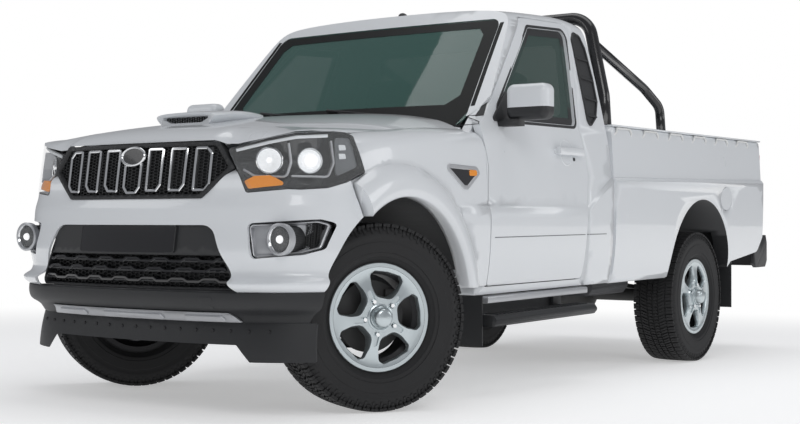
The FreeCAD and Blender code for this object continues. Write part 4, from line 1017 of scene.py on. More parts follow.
def makeHeadlamps():
    global lampTree
    lampTree = lampTreeMade()
    outline = roundCorners(lamp["outline"], 0.012, 4)
    # clear lens: a thin shell over the whole outline
    lens = bmesh.new()
    shrink = grownOutline(outline, -0.0005)
    plateOn(cornerPlace, shrink, 0.0, -lamp["lensThickness"], 0.0012, shape=lens, rows=7)
    addPair("lampLens", lens, "body", ["clearLens"], 40)
    # housing: walls and back, open behind the lens
    housing = bmesh.new()
    rings = []
    inner = grownOutline(outline, -0.004)
    deep = grownOutline(outline, -0.014)
    for ring, lift in ((shrink, -0.004), (inner, -0.004), (deep, -lamp["depth"] + 0.006)):
        rings.append([housing.verts.new(cornerPlace(p.x, p.y, lift)) for p in ring])
    backRing = [housing.verts.new(cornerPlace(p.x, p.y, -lamp["depth"])) for p in shrink]
    count = len(outline)
    for low, high in ((rings[0], rings[1]), (rings[1], rings[2]), (backRing, rings[0])):
        for i in range(count):
            j = (i + 1) % count
            housing.faces.new((low[i], low[j], high[j], high[i]))
    for ring in (rings[2], backRing):
        middle = housing.verts.new(sum((v.co for v in ring), Vector()) / count)
        for i in range(count):
            housing.faces.new((ring[i], ring[(i + 1) % count], middle))
    addPair("lampHousing", housing, "body", ["glossBlack"], 30)
    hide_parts("headlamps")
    # reflectors, projector ball, bulbs
    bowls = lampBowl(lamp["innerBowl"], 0.050, 0.026)
    mergeShape(bowls, lampBowl(lamp["outerBowl"], 0.047, 0.020))
    addPair("lampBowls", bowls, "body", ["chrome"], 30)
    glass = ballAt(lamp["outerBowl"], 0.031, 0.75, 0.004)
    mergeShape(glass, ballAt(lamp["innerBowl"], 0.013, 1.0, -0.004))
    addPair("lampProjector", glass, "body", ["lampWhite"], 60)
    # light bar under the upper edge
    bar = bandOn(cornerPlace, roundCorners(lamp["lightBar"], 0.05, 4, closed=False),
                 barSection(0.013, -0.012, -0.030, 0.003), closed=False)
    addPair("lampLightBar", bar, "body", ["whiteLens"])
    # trim that divides the lamp's inside
    trim = bmesh.new()
    for path in lamp["dividers"]:
        bandOn(cornerPlace, roundCorners(path, 0.02, 4, closed=False),
               barSection(0.008, -0.010, -0.050, 0.002), closed=False, shape=trim)
    addPair("lampTrim", trim, "body", ["silverPlastic"])
    # grey outer field with two small lights
    field = plateOn(cornerPlace, roundCorners(lamp["outerField"], 0.012, 3), -0.022, -0.040, 0.002)
    addPair("lampOuterField", field, "body", ["lampGrey"])
    small = bmesh.new()
    for low in lamp["smallLevels"]:
        outline = roundCorners([(along, low + up) for along, up in lamp["smallLight"]], 0.003, 2)
        plateOn(cornerPlace, outline, -0.018, -0.024, 0.001, shape=small)
    addPair("lampSmallLights", small, "body", ["whiteLens"])
    # amber field along the lower inner edge
    amber = plateOn(cornerPlace, roundCorners(lamp["amber"], 0.008, 3), -0.008, -0.030, 0.002, rows=2)
    addPair("lampAmber", amber, "body", ["amber"])
    print("headlamps made")


# fog lamps: bowl, lens, bulb and ring, a silver panel round them and a mesh outboard
fog = {
    "centre": (0.705, -0.612, 0.708), "radius": 0.047,
    "recess": [(0.570, 0.768), (0.792, 0.783), (0.822, 0.768), (0.808, 0.668), (0.760, 0.648),
               (0.598, 0.633)],
    "bezel": [(0.008, -0.040), (0.008, -0.004), (0.005, -0.002), (-0.002, -0.020), (-0.004, -0.036),
              (-0.006, -0.040)],
    "panel": [(0.585, 0.758), (0.585, 0.652), (0.625, 0.648), (0.762, 0.662), (0.768, 0.765)],
    "mesh": [(0.752, 0.664), (0.798, 0.680), (0.812, 0.764), (0.762, 0.772)],
    "meshDepth": 0.022, "meshCell": (0.016, 0.009),
}


def makeFogLamps():
    radius = fog["radius"]
    facing = Matrix.Rotation(-math.pi / 2, 4, "Z")
    centre = Matrix.Translation(fog["centre"])
    bowl = latheShape([(0.004, radius + 0.006), (0.006, radius + 0.003), (0.002, radius),
                       (-0.02, radius * 0.8), (-0.034, radius * 0.35), (-0.034, 0.0001), (-0.038, 0.0001),
                       (-0.038, radius * 0.5), (-0.02, radius + 0.006)], 36)
    addPair("fogBowl", movedShape(bowl, bodyToRow @ centre @ facing), "body", ["chrome"], 30)
    lens = latheShape([(0.012, 0.0001), (0.010, radius * 0.5), (0.003, radius * 0.97),
                       (-0.001, radius * 0.99), (0.000, radius * 0.9), (0.007, radius * 0.45),
                       (0.009, 0.0001)], 36)
    addPair("fogLens", movedShape(lens, bodyToRow @ centre @ facing), "body", ["clearLens"], 40)
    bulb = bmesh.new()
    bmesh.ops.create_uvsphere(bulb, u_segments=16, v_segments=10, radius=0.016)
    addPair("fogBulb", movedShape(bulb, bodyToRow @ centre), "body", ["lampWhite"], 60)
    ring = latheShape([(0.006, radius + 0.004), (0.010, radius + 0.007), (0.006, radius + 0.015),
                       (-0.02, radius + 0.013), (-0.02, radius + 0.005)], 40)
    addPair("fogRing", movedShape(ring, bodyToRow @ centre @ facing), "body",
            ["silverPlastic"], 30)
    middle = Vector((fog["centre"][0], fog["centre"][2]))
    recess = roundCorners(fog["recess"], 0.018, 4)
    bezel = bandOn(nosePlace, [p + (middle - p).normalized() * 0.006 for p in recess], fog["bezel"])
    addPair("fogBezel", bezel, "body", ["silverPlastic"])
    plate = plateOn(nosePlace, roundCorners(fog["panel"], 0.012, 3), -0.032, -0.036, 0.001, rows=2)
    addPair("fogPanel", plate, "body", ["silverPlastic"])
    honey = honeycomb("fogMesh_left", fog["mesh"], fog["meshDepth"], *fog["meshCell"])
    copy = honey.data.copy()
    copy.transform(mirrorX)
    copy.flip_normals()
    other = bpy.data.objects.new("fogMesh_right", copy)
    bpy.context.scene.collection.objects.link(other)
    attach(other, "body")
    print("fog lamps made")


# flat strip between two outlines of as many points, laid on a surface
def ringOn(place, outer, inner, front, back, shape=None):
    shape = shape or bmesh.new()
    rings = [[shape.verts.new(place(p[0], p[1], lift)) for p in points]
             for points, lift in ((outer, back), (outer, front), (inner, front), (inner, back))]
    count = len(outer)
    for low, high in zip(rings, rings[1:] + rings[:1]):
        for i in range(count):
            j = (i + 1) % count
            shape.faces.new((low[i], low[j], high[j], high[i]))
    return shape


# rectangle on a surface, as a grid that bends with it
def gridPlate(place, low, high, front, back, columns=24, rows=4, shape=None):
    shape = shape or bmesh.new()
    sheets = []
    for lift in (front, back):
        sheets.append([[shape.verts.new(place(low[0] + (high[0] - low[0]) * i / columns,
                                              low[1] + (high[1] - low[1]) * j / rows, lift))
                        for j in range(rows + 1)] for i in range(columns + 1)])
    for sheet in sheets:
        for i in range(columns):
            for j in range(rows):
                shape.faces.new((sheet[i][j], sheet[i + 1][j], sheet[i + 1][j + 1], sheet[i][j + 1]))
    top, foot = sheets
    for i in range(columns):
        for j in (0, rows):
            shape.faces.new((top[i][j], top[i + 1][j], foot[i + 1][j], foot[i][j]))
    for j in range(rows):
        for i in (0, columns):
            shape.faces.new((top[i][j], top[i][j + 1], foot[i][j + 1], foot[i][j]))
    return shape


# shape cut by another one, as a new bmesh
def carved(shape, tool):
    objects = []
    for name, part in (("carvedShape", shape), ("carvedTool", tool)):
        bmesh.ops.recalc_face_normals(part, faces=part.faces)
        mesh = bpy.data.meshes.new(name)
        part.to_mesh(mesh)
        part.free()
        obj = bpy.data.objects.new(name, mesh)
        bpy.context.scene.collection.objects.link(obj)
        objects.append(obj)
    modifier = objects[0].modifiers.new("holes", "BOOLEAN")
    modifier.operation = "DIFFERENCE"
    modifier.solver = "EXACT"
    modifier.object = objects[1]
    bpy.context.view_layer.update()
    mesh = bpy.data.meshes.new_from_object(objects[0].evaluated_get(bpy.context.evaluated_depsgraph_get()))
    result = bmesh.new()
    result.from_mesh(mesh)
    bpy.data.meshes.remove(mesh)
    for obj in objects:
        bpy.data.objects.remove(obj)
    return result


# front of the wheel: five bell-shaped holes, nut pockets and a round cap
wheelFace = {
    "holeOutline": [(-0.030, 0.086), (0.030, 0.086), (0.056, 0.120), (0.072, 0.160), (0.058, 0.178),
                    (0, 0.184), (-0.058, 0.178), (-0.072, 0.160), (-0.056, 0.120)],
    "holeRadii": [0.028, 0.028, 0.04, 0.014, 0.012, 0, 0.012, 0.014, 0.04],
    "pocketOutline": [(-0.012, 0.060), (0.012, 0.060), (0.009, 0.118), (-0.009, 0.118)],
    "disc": [(0.104, 0.203), (0.101, 0.188), (0.103, 0.150), (0.109, 0.112), (0.110, 0.084), (0.110, 0.0225),
             (0.060, 0.0225), (0.060, 0.084), (0.074, 0.120), (0.078, 0.168), (0.080, 0.203)],
    "barrel": [(-0.104, 0.219), (-0.102, 0.221), (-0.098, 0.220), (-0.097, 0.206), (-0.062, 0.206),
               (-0.040, 0.182), (0.050, 0.182), (0.066, 0.206), (0.0945, 0.206), (0.0945, 0.218),
               (0.098, 0.221), (0.102, 0.221), (0.104, 0.219), (0.104, 0.204), (0.064, 0.198), (0.048, 0.174),
               (-0.044, 0.174), (-0.066, 0.198), (-0.104, 0.198)],
    "cap": [(0.108, 0.0001), (0.108, 0.046), (0.119, 0.045), (0.122, 0.042), (0.144, 0.039), (0.151, 0.034),
            (0.155, 0.024), (0.156, 0.0001)],
    "capRing": [(0.108, 0.0465), (0.108, 0.056), (0.114, 0.055), (0.116, 0.0505), (0.114, 0.0465)],
    "hub": [(-0.012, 0.148), (0.012, 0.148), (0.012, 0.06), (0.062, 0.058), (0.062, 0.024), (-0.030, 0.024),
            (-0.030, 0.062), (-0.012, 0.062)],
    "spokes": 5, "holeDepths": (0.02, 0.125), "straightTo": 0.094, "flare": 0.016,
    "pocketDepths": (0.1035, 0.13), "pocketFlare": 0.004, "paintedShadeFrom": 0.082, "rimRadius": 0.2025,
    "rimFrom": 0.066, "nutCircle": 0.070, "nutRadius": 0.0105, "nutHeight": 0.018, "nutX": 0.112,
    "turns": {"front": -11, "rear": -37},
}


def wheelPrism(outline, low, high, angle, flare=0.0, straightTo=None):
    shape = bmesh.new()
    levels = [(low, 0.0)] + ([(straightTo, 0.0)] if straightTo else []) + [(high, flare)]
    rings = []
    for x, grow in levels:
        points = grownOutline(outline, grow) if grow else [Vector(p) for p in outline]
        rings.append([shape.verts.new((x, p.x, p.y)) for p in points])
    count = len(outline)
    for first, second in zip(rings, rings[1:]):
        for i in range(count):
            j = (i + 1) % count
            shape.faces.new((first[i], first[j], second[j], second[i]))
    shape.faces.new(rings[0])
    shape.faces.new(rings[-1])
    return movedShape(shape, Matrix.Rotation(angle, 4, "X"))


def makeWheelFace():
    face = latheShape(wheelFace["disc"], 120)
    hole = roundCorners(wheelFace["holeOutline"], wheelFace["holeRadii"], 4)
    pocket = roundCorners(wheelFace["pocketOutline"], 0.007, 3)
    spokeAngles = [math.tau * index / wheelFace["spokes"] for index in range(wheelFace["spokes"])]
    between = math.pi / wheelFace["spokes"]
    tools = None
    for angle in spokeAngles:
        part = wheelPrism(hole, *wheelFace["holeDepths"], angle, wheelFace["flare"], wheelFace["straightTo"])
        tools = part if tools is None else mergeShape(tools, part)
        mergeShape(tools, wheelPrism(pocket, *wheelFace["pocketDepths"], angle + between,
                                     wheelFace["pocketFlare"]))
    face = carved(face, tools)
    mergeShape(face, latheShape(wheelFace["cap"], 48))
    mergeShape(face, latheShape(wheelFace["capRing"], 48))
    # faces deep in the wheel that face inboard take black steel: painted shade in the wheel's hollows
    for part in face.faces:
        deep = part.calc_center_median().x < wheelFace["paintedShadeFrom"] and part.normal.x < -0.3
        part.material_index = 1 if deep else 0
    # the barrel takes black steel as well, painted shade; its outer lip goes back to alloy below
    mergeShape(face, latheShape(wheelFace["barrel"], 96), 1)
    for part in face.faces:
        centre = part.calc_center_median()
        if math.hypot(centre.y, centre.z) > wheelFace["rimRadius"] and centre.x > wheelFace["rimFrom"]:
            part.material_index = 0
    mergeShape(face, latheShape(wheelFace["hub"], 48), 2)
    bmesh.ops.recalc_face_normals(face, faces=face.faces)
    nut = bmesh.new()
    bmesh.ops.create_cone(nut, segments=6, radius1=wheelFace["nutRadius"],
                          radius2=wheelFace["nutRadius"] * 0.8, depth=wheelFace["nutHeight"], cap_ends=True)
    movedShape(nut, Matrix.Rotation(math.pi / 2, 4, "Y"))
    circle = wheelFace["nutCircle"]
    places = [((wheelFace["nutX"], -circle * math.sin(angle), circle * math.cos(angle)), (angle, 0, 0))
              for angle in (spoke + between for spoke in spokeAngles)]
    nuts = copiesMesh("nuts", nut, places, "chrome")
    for part in list(face.faces):
        part.smooth = True
    count = len(face.faces)
    face.from_mesh(nuts)
    face.faces.ensure_lookup_table()
    for index in range(count, len(face.faces)):
        face.faces[index].material_index = 3
    bpy.data.meshes.remove(nuts)
    mesh = bpy.data.meshes.new("wheelFace")
    face.to_mesh(mesh)
    face.free()
    setAtHubs("wheelFace", mesh, ["alloy", "blackSteel", "castSteel", "chrome"], 34, replace="wheel",
              turns=wheelFace["turns"])
    print("wheel faces made")


# flank: side marker, door handle, seals, mirror, sill strip, and dark strips of painted shade in the door
# gaps and along a groove
flank = {
    "marker": [(0.279, 1.018), (0.572, 1.008), (0.603, 0.978), (0.492, 0.906), (0.456, 0.906)],
    "markerLamp": [(0.505, 0.966), (0.568, 0.966), (0.568, 0.992), (0.505, 0.992)],
    "handleY": (1.305, 1.560), "handleZ": 1.100, "handleHeight": 0.036, "dishCentre": (1.430, 1.098),
    "dishRadius": 0.062, "lockCentre": (1.505, 1.066), "lockRadius": 0.009,
    "window": [(0.775, 1.232), (1.574, 1.236), (1.682, 1.724), (1.296, 1.704)],
    "sail": [(0.742, 1.218), (0.940, 1.226), (0.935, 1.378), (0.890, 1.338)],
    "door": [(0.664, 0.480), (0.667, 0.838), (0.682, 1.010), (0.642, 1.205), (0.698, 1.240), (1.258, 1.752),
             (1.738, 1.770), (1.604, 1.215), (1.652, 1.005), (1.630, 0.838), (1.592, 0.478)],
    "doorRadii": [0.020, 0, 0.060, 0.015, 0.030, 0.055, 0.045, 0, 0.060, 0, 0.028],
    "gapShade": (0.0045, 0.0026),
    "sillGuard": ((0.735, 0.700, 0.338), (0.742, 1.600, 0.404)),
    "mirrorSplit": 1.279, "grooveShadeLevel": 0.695, "grooveShadeDoorSpan": (0.700, 1.596), "grooveShadeCabSpan": (1.625, 1.840),
    "sillStrip": ((0.800, 0.660, 0.402), (0.866, 1.648, 0.432)),
}


def makeFlank():
    side = surfaceMap(["door_left", "fender_left", "cab_shell"], "x")
    doors = ("door_left_body", "door_right_body")
    outline = roundCorners(flank["marker"], 0.018, 4)
    addPair("markerFrame", bandOn(side, grownOutline(outline, -0.010),
                                  barSection(0.018, 0.005, -0.003, 0.003)), "body",
            ["silverPlastic"])
    addPair("markerPlate", plateOn(side, grownOutline(outline, -0.016), 0.002, -0.002, 0.0005, rows=3),
            "body", ["glossBlack"])
    addPair("markerLamp", plateOn(side, roundCorners(flank["markerLamp"], 0.010, 3), 0.005, 0.001, 0.0015),
            "body", ["amber"])
    # handle: shallow round dish with a rim, a bar on two feet, a lock
    y0, y1 = flank["handleY"]
    z = flank["handleZ"]
    circle = circleOutline(*flank["dishCentre"], flank["dishRadius"], flank["dishRadius"], 40)
    section = [(0.006, -0.001), (0.004, 0.0009), (0, 0.0016), (-0.004, 0.0009), (-0.006, -0.001)]
    addPair("handleDish", bandOn(side, circle, section), doors, ["whitePaint"], 60)
    half = flank["handleHeight"] / 2
    section = [(half, 0.018), (half, 0.030), (half * 0.6, 0.036), (-half * 0.6, 0.036), (-half, 0.030),
               (-half, 0.018)]
    bar = bandOn(side, [(y0 + (y1 - y0) * i / 8, z) for i in range(9)], section, closed=False)
    for low, high in ((y0 + 0.004, y0 + 0.030), (y1 - 0.030, y1 - 0.004)):
        plateOn(side, roundCorners([(low, z - half * 0.8), (high, z - half * 0.8), (high, z + half * 0.8),
                                    (low, z + half * 0.8)], 0.006, 3), 0.022, -0.003, 0.001, shape=bar)
    addPair("doorHandle", bar, doors, ["whitePaint"], 40)
    lock = circleOutline(*flank["lockCentre"], flank["lockRadius"], flank["lockRadius"], 16)
    addPair("doorLock", plateOn(side, lock, 0.004, -0.002, 0.001), doors, ["blackSteel"])
    # seals: outside on the door's frame, inside on its pane
    door = surfaceMap(["door_left"], "x")
    pane = surfaceMap(["door_glass_left"], "x")
    window = roundCorners(flank["window"], 0.034, 5)
    seal = bandOn(door, grownOutline(window, 0.009), barSection(0.014, 0.0025, -0.006, 0.0015))
    ringOn(pane, grownOutline(window, -0.002), grownOutline(window, -0.036), 0.0012, -0.0005, shape=seal)
    addPair("windowSeal", seal, doors, ["blackPlastic"])
    addPair("mirrorSail", plateOn(door, roundCorners(flank["sail"], 0.012, 3), 0.010, -0.010, 0.002), doors,
            ["blackPlastic"])
    # dark grey strips along the flank's line on the door and the cab: painted shade of a groove
    for name, (low, high), owner in (("rubLineDoor", flank["grooveShadeDoorSpan"], doors),
                                     ("rubLineCab", flank["grooveShadeCabSpan"], "body")):
        path = [(low + (high - low) * i / 12, flank["grooveShadeLevel"]) for i in range(13)]
        addPair(name, bandOn(side, path, barSection(0.004, 0.0008, -0.002, 0.0002), closed=False), owner,
                ["lampGrey"])
    # black strip sunk in the door's gap: painted shade, standing for the gap's depth
    panels = surfaceMap(["cab_shell", "door_left", "fender_left"], "x")
    door = [Vector(point) for point in flank["door"]]
    gapShade = ringOn(panels, *[roundCorners(grownOutline(door, grow), flank["doorRadii"], 4)
                                for grow in flank["gapShade"]], -0.003, -0.006)
    addPair("doorGapStrip", gapShade, "body", ["blackPlastic"])
    addPair("sillGuard", movedShape(softBlock(*flank["sillGuard"], chamfer=0.001, segments=1), bodyToRow),
            "body", ["blackPlastic"])
    strip = softBlock(*flank["sillStrip"], chamfer=0.006, segments=2)
    addPair("sillStrip", movedShape(strip, bodyToRow), "body", ["silverPlastic"])
    print("flank made")


# mirrors: white cap above a line, black below, silvered glass behind
def dressMirrors():
    for sideName in ("left", "right"):
        source = cadNodes["mirror_" + sideName]
        shape = bmesh.new()
        shape.from_mesh(source.data)
        bmesh.ops.remove_doubles(shape, verts=shape.verts, dist=0.00002)
        point = bodyToRow @ Vector((0, 0.85, flank["mirrorSplit"]))
        normal = bodyToRow.to_3x3() @ Vector((0, 0, 1))
        bmesh.ops.bisect_plane(shape, geom=shape.verts[:] + shape.edges[:] + shape.faces[:], plane_co=point,
                               plane_no=normal)
        for face in shape.faces:
            centre = rowToBody @ face.calc_center_median()
            if face.normal.y > 0.85 and centre.y > 0.9:
                face.material_index = 2
            else:
                face.material_index = 0 if centre.z > flank["mirrorSplit"] and abs(centre.x) > 0.865 else 1
        obj = addPiece("mirror_%s_skin" % sideName, shape, source["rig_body"],
                       ["whitePaint", "blackPlastic", "chrome"], 32, recalc=False)
        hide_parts("mirror_" + sideName)


# windscreen: black border, wipers, and the rear pane's seal
screen = {
    "hole": [(-0.700, 1.200), (0.700, 1.200), (0.729, 1.262), (0.667, 1.700), (0.640, 1.731), (-0.640, 1.731),
             (-0.667, 1.700), (-0.729, 1.262)],
    "clear": [(-0.600, 1.300), (0.600, 1.300), (0.652, 1.345), (0.608, 1.655), (0.572, 1.690),
              (-0.572, 1.690), (-0.608, 1.655), (-0.652, 1.345)],
    "wipers": [((0.60, 1.206), (0.30, 1.232), (0.06, 1.268)),
               ((-0.03, 1.232), (-0.24, 1.250), (-0.38, 1.276))],
    "pillarFoot": [(0.602, 1.146, 1), (0.637, 1.181, 1), (0.720, 1.264, 1), (0.800, 1.345, 1),
                   (0.840, 1.345, 0), (0.780, 1.220, 0), (0.740, 1.146, 0)],
    "footLevels": [(0.746, 0), (0.778, 0), (0.788, 0.010)],
    "pillarTrim": [(0.7415, 1.290), (0.677, 1.715)], "trimSteps": 16, "trimWidth": 0.020,
    "glassEnd": 1.4, "shellEnd": 1.3,
    "rearHole": [(-0.600, 1.300), (0.600, 1.300), (0.560, 1.690), (-0.560, 1.690)],
}


def matchedRings(outer, inner, perSide=8):
    rings = []
    for outline in (outer, inner):
        ring = []
        for i in range(len(outline)):
            a, b = Vector(outline[i]), Vector(outline[(i + 1) % len(outline)])
            ring += [a.lerp(b, step / perSide) for step in range(perSide)]
        rings.append(ring)
    return rings


def makeScreen():
    glass = surfaceMap(["cab_glass"], "y", keep=lambda centre: centre.y < screen["glassEnd"])
    shell = surfaceMap(["cab_shell"], "y", keep=lambda centre: centre.y < screen["shellEnd"])
    border = ringOn(glass, *matchedRings(screen["hole"], screen["clear"]), 0.0012, -0.0008)
    addPiece("screenBorder", border, "body", ["fritBlack"], 40)
    sides = bmesh.new()
    for sign in (1, -1):
        foot, head = (Vector((sign * x, z)) for x, z in screen["pillarTrim"])
        path = [foot.lerp(head, i / screen["trimSteps"]) for i in range(screen["trimSteps"] + 1)]
        bandOn(shell, path, barSection(screen["trimWidth"], 0.0012, -0.002, 0.001), closed=False, shape=sides)
    addPiece("screenPillarTrim", sides, "body", ["fritBlack"])
    fill = bmesh.new()
    levels = []
    for x, setBack in screen["footLevels"]:
        levels.append([fill.verts.new(bodyToRow @ Vector((x, y + setBack * front, z)))
                       for y, z, front in screen["pillarFoot"]])
    for low, high in zip(levels, levels[1:]):
        for i in range(len(low)):
            j = (i + 1) % len(low)
            fill.faces.new((low[i], low[j], high[j], high[i]))
    fill.faces.new(levels[0])
    fill.faces.new(levels[-1])
    addPair("pillarFoot", fill, "body", ["whitePaint"], 40)
    for index, points in enumerate(screen["wipers"]):
        arm = tubeAlong([glass(x, z, 0.018) for x, z in points], [0.007, 0.005, 0.004], 8)
        pivot = glass(*points[0], 0.010)
        hub = bmesh.new()
        bmesh.ops.create_uvsphere(hub, u_segments=14, v_segments=8, radius=0.015)
        mergeShape(arm, movedShape(hub, Matrix.Translation(pivot)))
        bladeStart = Vector(points[0]).lerp(Vector(points[2]), 0.12)
        bladeEnd = Vector(points[2]) + Vector((-0.09, 0.012))
        blade = [glass(*(bladeStart.lerp(bladeEnd, i / 14) + Vector((0, 0.012))), 0.010) for i in range(15)]
        tubeAlong(blade, 0.006, 8, shape=arm)
        addPiece("wiper_%d" % (index + 1), arm, "body", ["blackPlastic"], 50)
    back = surfaceMap(["cab_shell"], "y", -1.0)
    seal = bandOn(back, grownOutline(roundCorners(screen["rearHole"], 0.05, 5), 0.010),
                  barSection(0.018, 0.003, -0.004, 0.0015))
    addPiece("rearPaneSeal", seal, "body", ["blackPlastic"])
    print("windscreen made")


# louvre on the rear pillar: plate, rim and slats
louvre = {
    "outline": [(1.776, 1.734), (1.842, 1.720), (1.874, 1.655), (1.886, 1.500), (1.880, 1.374),
                (1.826, 1.285), (1.748, 1.238), (1.718, 1.264), (1.722, 1.480), (1.734, 1.690)],
    "slats": [((1.735, 1.596), (1.872, 1.589)), ((1.728, 1.497), (1.880, 1.484)),
              ((1.727, 1.393), (1.876, 1.380)), ((1.727, 1.300), (1.832, 1.296))],
    "rimWidth": 0.012, "rimHeight": 0.009, "slatWidth": 0.016,
}


def makeLouvres():
    side = surfaceMap(["cab_shell"], "x")
    outline = roundCorners(louvre["outline"], 0.03, 4)
    shape = plateOn(side, grownOutline(outline, -0.004), 0.002, -0.0005, 0.0005, rows=4)
    rim = barSection(louvre["rimWidth"], louvre["rimHeight"], -0.0005, 0.003)
    bandOn(side, grownOutline(outline, -0.006), rim, shape=shape)
    half = louvre["slatWidth"] / 2
    for start, end in louvre["slats"]:
        bandOn(side, [Vector(start).lerp(Vector(end), i / 6) for i in range(7)],
               [(half, 0.001), (half, 0.010), (half - 0.004, 0.011), (-half, 0.003), (-half, 0.001)],
               closed=False, shape=shape)
    addPair("pillarLouvre", shape, "body", ["blackPlastic"])
    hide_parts("pillar_louvres")
    print("louvres made")


# tub: rail lip with hanging rope loops, tailgate handle, tail lamp fields, bumper pads
tub = {
    "lip": ((0.770, 1.958, 1.2535), (0.862, 4.158, 1.262)), "loops": 6,
    "loopStart": 1.990, "loopPitch": 0.350, "loopLong": 0.21, "loopHigh": 1.243,
    "loopLow": 1.206, "ropeRadius": 0.0055,
    "gateHandle": [(-0.075, 1.150), (0.075, 1.150), (0.075, 1.192), (-0.075, 1.192)],
    "gatePress": [(-0.56, 0.82), (0.56, 0.82), (0.56, 1.10), (-0.56, 1.10)],
    "bumperRibs": ((-0.42, 4.335, 0.650), (0.42, 4.335, 0.650), 35),
    "stepRibs": ((0.862, 0.70, 0.352), (0.862, 1.58, 0.352), 28),
    "tailFields": [("tailAmber", 1.082, 1.148, "amber"), ("tailWhite", 0.900, 0.956, "whiteLens")],
    "tailReach": (0.796, 0.842),
}


# evenly spaced places from one point to another, tilted with the body
def ribPlaces(first, last, count):
    rake = (math.radians(truck["rakeDegrees"]), 0, 0)
    return [(bodyToRow @ Vector(first).lerp(Vector(last), i / (count - 1)), rake) for i in range(count)]


def makeTub():
    railLip = softBlock(*tub["lip"], chamfer=0.003, segments=2)
    addPair("railLip", movedShape(railLip, bodyToRow), "body", ["whitePaint"])
    side = surfaceMap(["load_tub"], "x")
    rope = bmesh.new()
    for index in range(tub["loops"]):
        start = tub["loopStart"] + index * tub["loopPitch"]
        points = []
        for step in range(17):
            share = step / 16
            rise = min(1, 2.6 * math.sin(math.pi * share))
            height = tub["loopLow"] + (tub["loopHigh"] - tub["loopLow"]) * rise
            inward = -0.006 if step in (0, 16) else 0.007
            points.append(side(start + tub["loopLong"] * share, height, inward))
        tubeAlong(points, tub["ropeRadius"], 10, shape=rope)
    addPair("hangingRope", rope, "body", ["ropeWhite"], 60)
    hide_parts("rope_rails")
    gate = surfaceMap(["tailgate"], "y", -1.0)
    addPiece("gateHandle", plateOn(gate, roundCorners(tub["gateHandle"], 0.012, 3), 0.006, -0.003, 0.002),
             "tailgate_body", ["blackPlastic"])
    section = [(0.012, -0.002), (0.006, 0.004), (-0.006, 0.004), (-0.012, -0.002)]
    press = bandOn(gate, roundCorners(tub["gatePress"], 0.03, 4), section)
    addPiece("gatePress", press, "tailgate_body", ["whitePaint"], 50)
    rear = surfaceMap(["tail_lamps"], "y", -1.0)
    near, far = tub["tailReach"]
    for name, low, high, finishName in tub["tailFields"]:
        outline = roundCorners([(near, low), (far, low), (far, high), (near, high)], 0.008, 3)
        addPair(name, plateOn(rear, outline, 0.0025, -0.001, 0.001), "body", [finishName])
    # ribs on the rear bumper's top and on the steps
    rib = softBlock((-0.004, -0.022, -0.001), (0.004, 0.022, 0.003), chamfer=0.001)
    placeCopies("bumperRibs", rib, ribPlaces(*tub["bumperRibs"]), "blackPlastic", "body")
    rib = softBlock((-0.034, -0.005, -0.001), (0.034, 0.005, 0.004), chamfer=0.0015)
    places = ribPlaces(*tub["stepRibs"])
    places += [(Vector((-p[0].x, p[0].y, p[0].z)), p[1]) for p in places]
    placeCopies("stepRibs", rib, places, "blackPlastic", "body")
    print("tub trim made")


# the bonnet's front lip: from the bonnet's rim down to the grille's and the lamps' top edges
lip = {
    "rim": [(0, -0.558), (0.100, -0.556), (0.200, -0.549), (0.300, -0.536), (0.380, -0.517), (0.420, -0.504),
            (0.460, -0.486), (0.500, -0.460), (0.550, -0.413), (0.600, -0.343), (0.635, -0.270),
            (0.660, -0.200), (0.680, -0.135), (0.700, -0.068), (0.715, -0.005), (0.728, 0.050)],
    "edge": [(0, -0.640, 1.091), (0.110, -0.640, 1.091), (0.220, -0.639, 1.091), (0.320, -0.637, 1.091),
             (0.405, -0.633, 1.091), (0.445, -0.612, 1.076), (0.495, -0.604, 1.075), (0.550, -0.596, 1.084),
             (0.605, -0.580, 1.093), (0.655, -0.553, 1.105), (0.700, -0.512, 1.119), (0.733, -0.450, 1.124),
             (0.738, -0.340, 1.125), (0.738, -0.200, 1.126), (0.738, -0.080, 1.139), (0.738, 0.030, 1.1475)],
    "overlap": 0.03, "lift": 0.0008, "thick": 0.003, "perStation": 3, "across": 9,
}


def makeLip():
    top = surfaceMap(["bonnet"], "z")
    stations = []
    for i in range(len(lip["rim"]) - 1):
        for step in range(lip["perStation"]):
            t = step / lip["perStation"]
            stations.append((Vector(lip["rim"][i]).lerp(Vector(lip["rim"][i + 1]), t),
                             Vector(lip["edge"][i]).lerp(Vector(lip["edge"][i + 1]), t)))
    stations = [(Vector((-a.x, a.y)), Vector((-b.x, b.y, b.z))) for a, b in reversed(stations[1:])] + stations
    shape = bmesh.new()
    sheets = [[], []]
    for rim, edge in stations:
        inward = (rim - Vector((edge.x, edge.y))).normalized()
        start = rowToBody @ top(*(rim + inward * lip["overlap"]), lip["lift"])
        knee = Vector((edge.x * 0.8 + start.x * 0.2, edge.y * 0.8 + start.y * 0.2,
                       start.z * 0.72 + edge.z * 0.28 - 0.004))
        for sheet, drop in zip(sheets, (0, lip["thick"])):
            row = []
            for j in range(lip["across"] + 1):
                t = j / lip["across"]
                point = start * (1 - t) ** 2 + knee * 2 * t * (1 - t) + edge * t ** 2
                fall = drop * 0.3 if t == 0 else drop * (1 - t)
                back = Vector((inward.x, inward.y, 0)) * drop * t - Vector((0, 0, fall))
                row.append(shape.verts.new(bodyToRow @ (point + back)))
            sheet.append(row)
    for sheet in sheets:
        for low, high in zip(sheet, sheet[1:]):
            for j in range(lip["across"]):
                shape.faces.new((low[j], low[j + 1], high[j + 1], high[j]))
    front, rear = sheets
    for i in range(len(stations) - 1):
        for j in (0, lip["across"]):
            shape.faces.new((front[i][j], front[i + 1][j], rear[i + 1][j], rear[i][j]))
    for i in (0, len(stations) - 1):
        for j in range(lip["across"]):
            shape.faces.new((front[i][j], front[i][j + 1], rear[i][j + 1], rear[i][j]))
    addPiece("bonnetLip", shape, "bonnet_body", ["whitePaint"], 50)
    print("bonnet lip made")


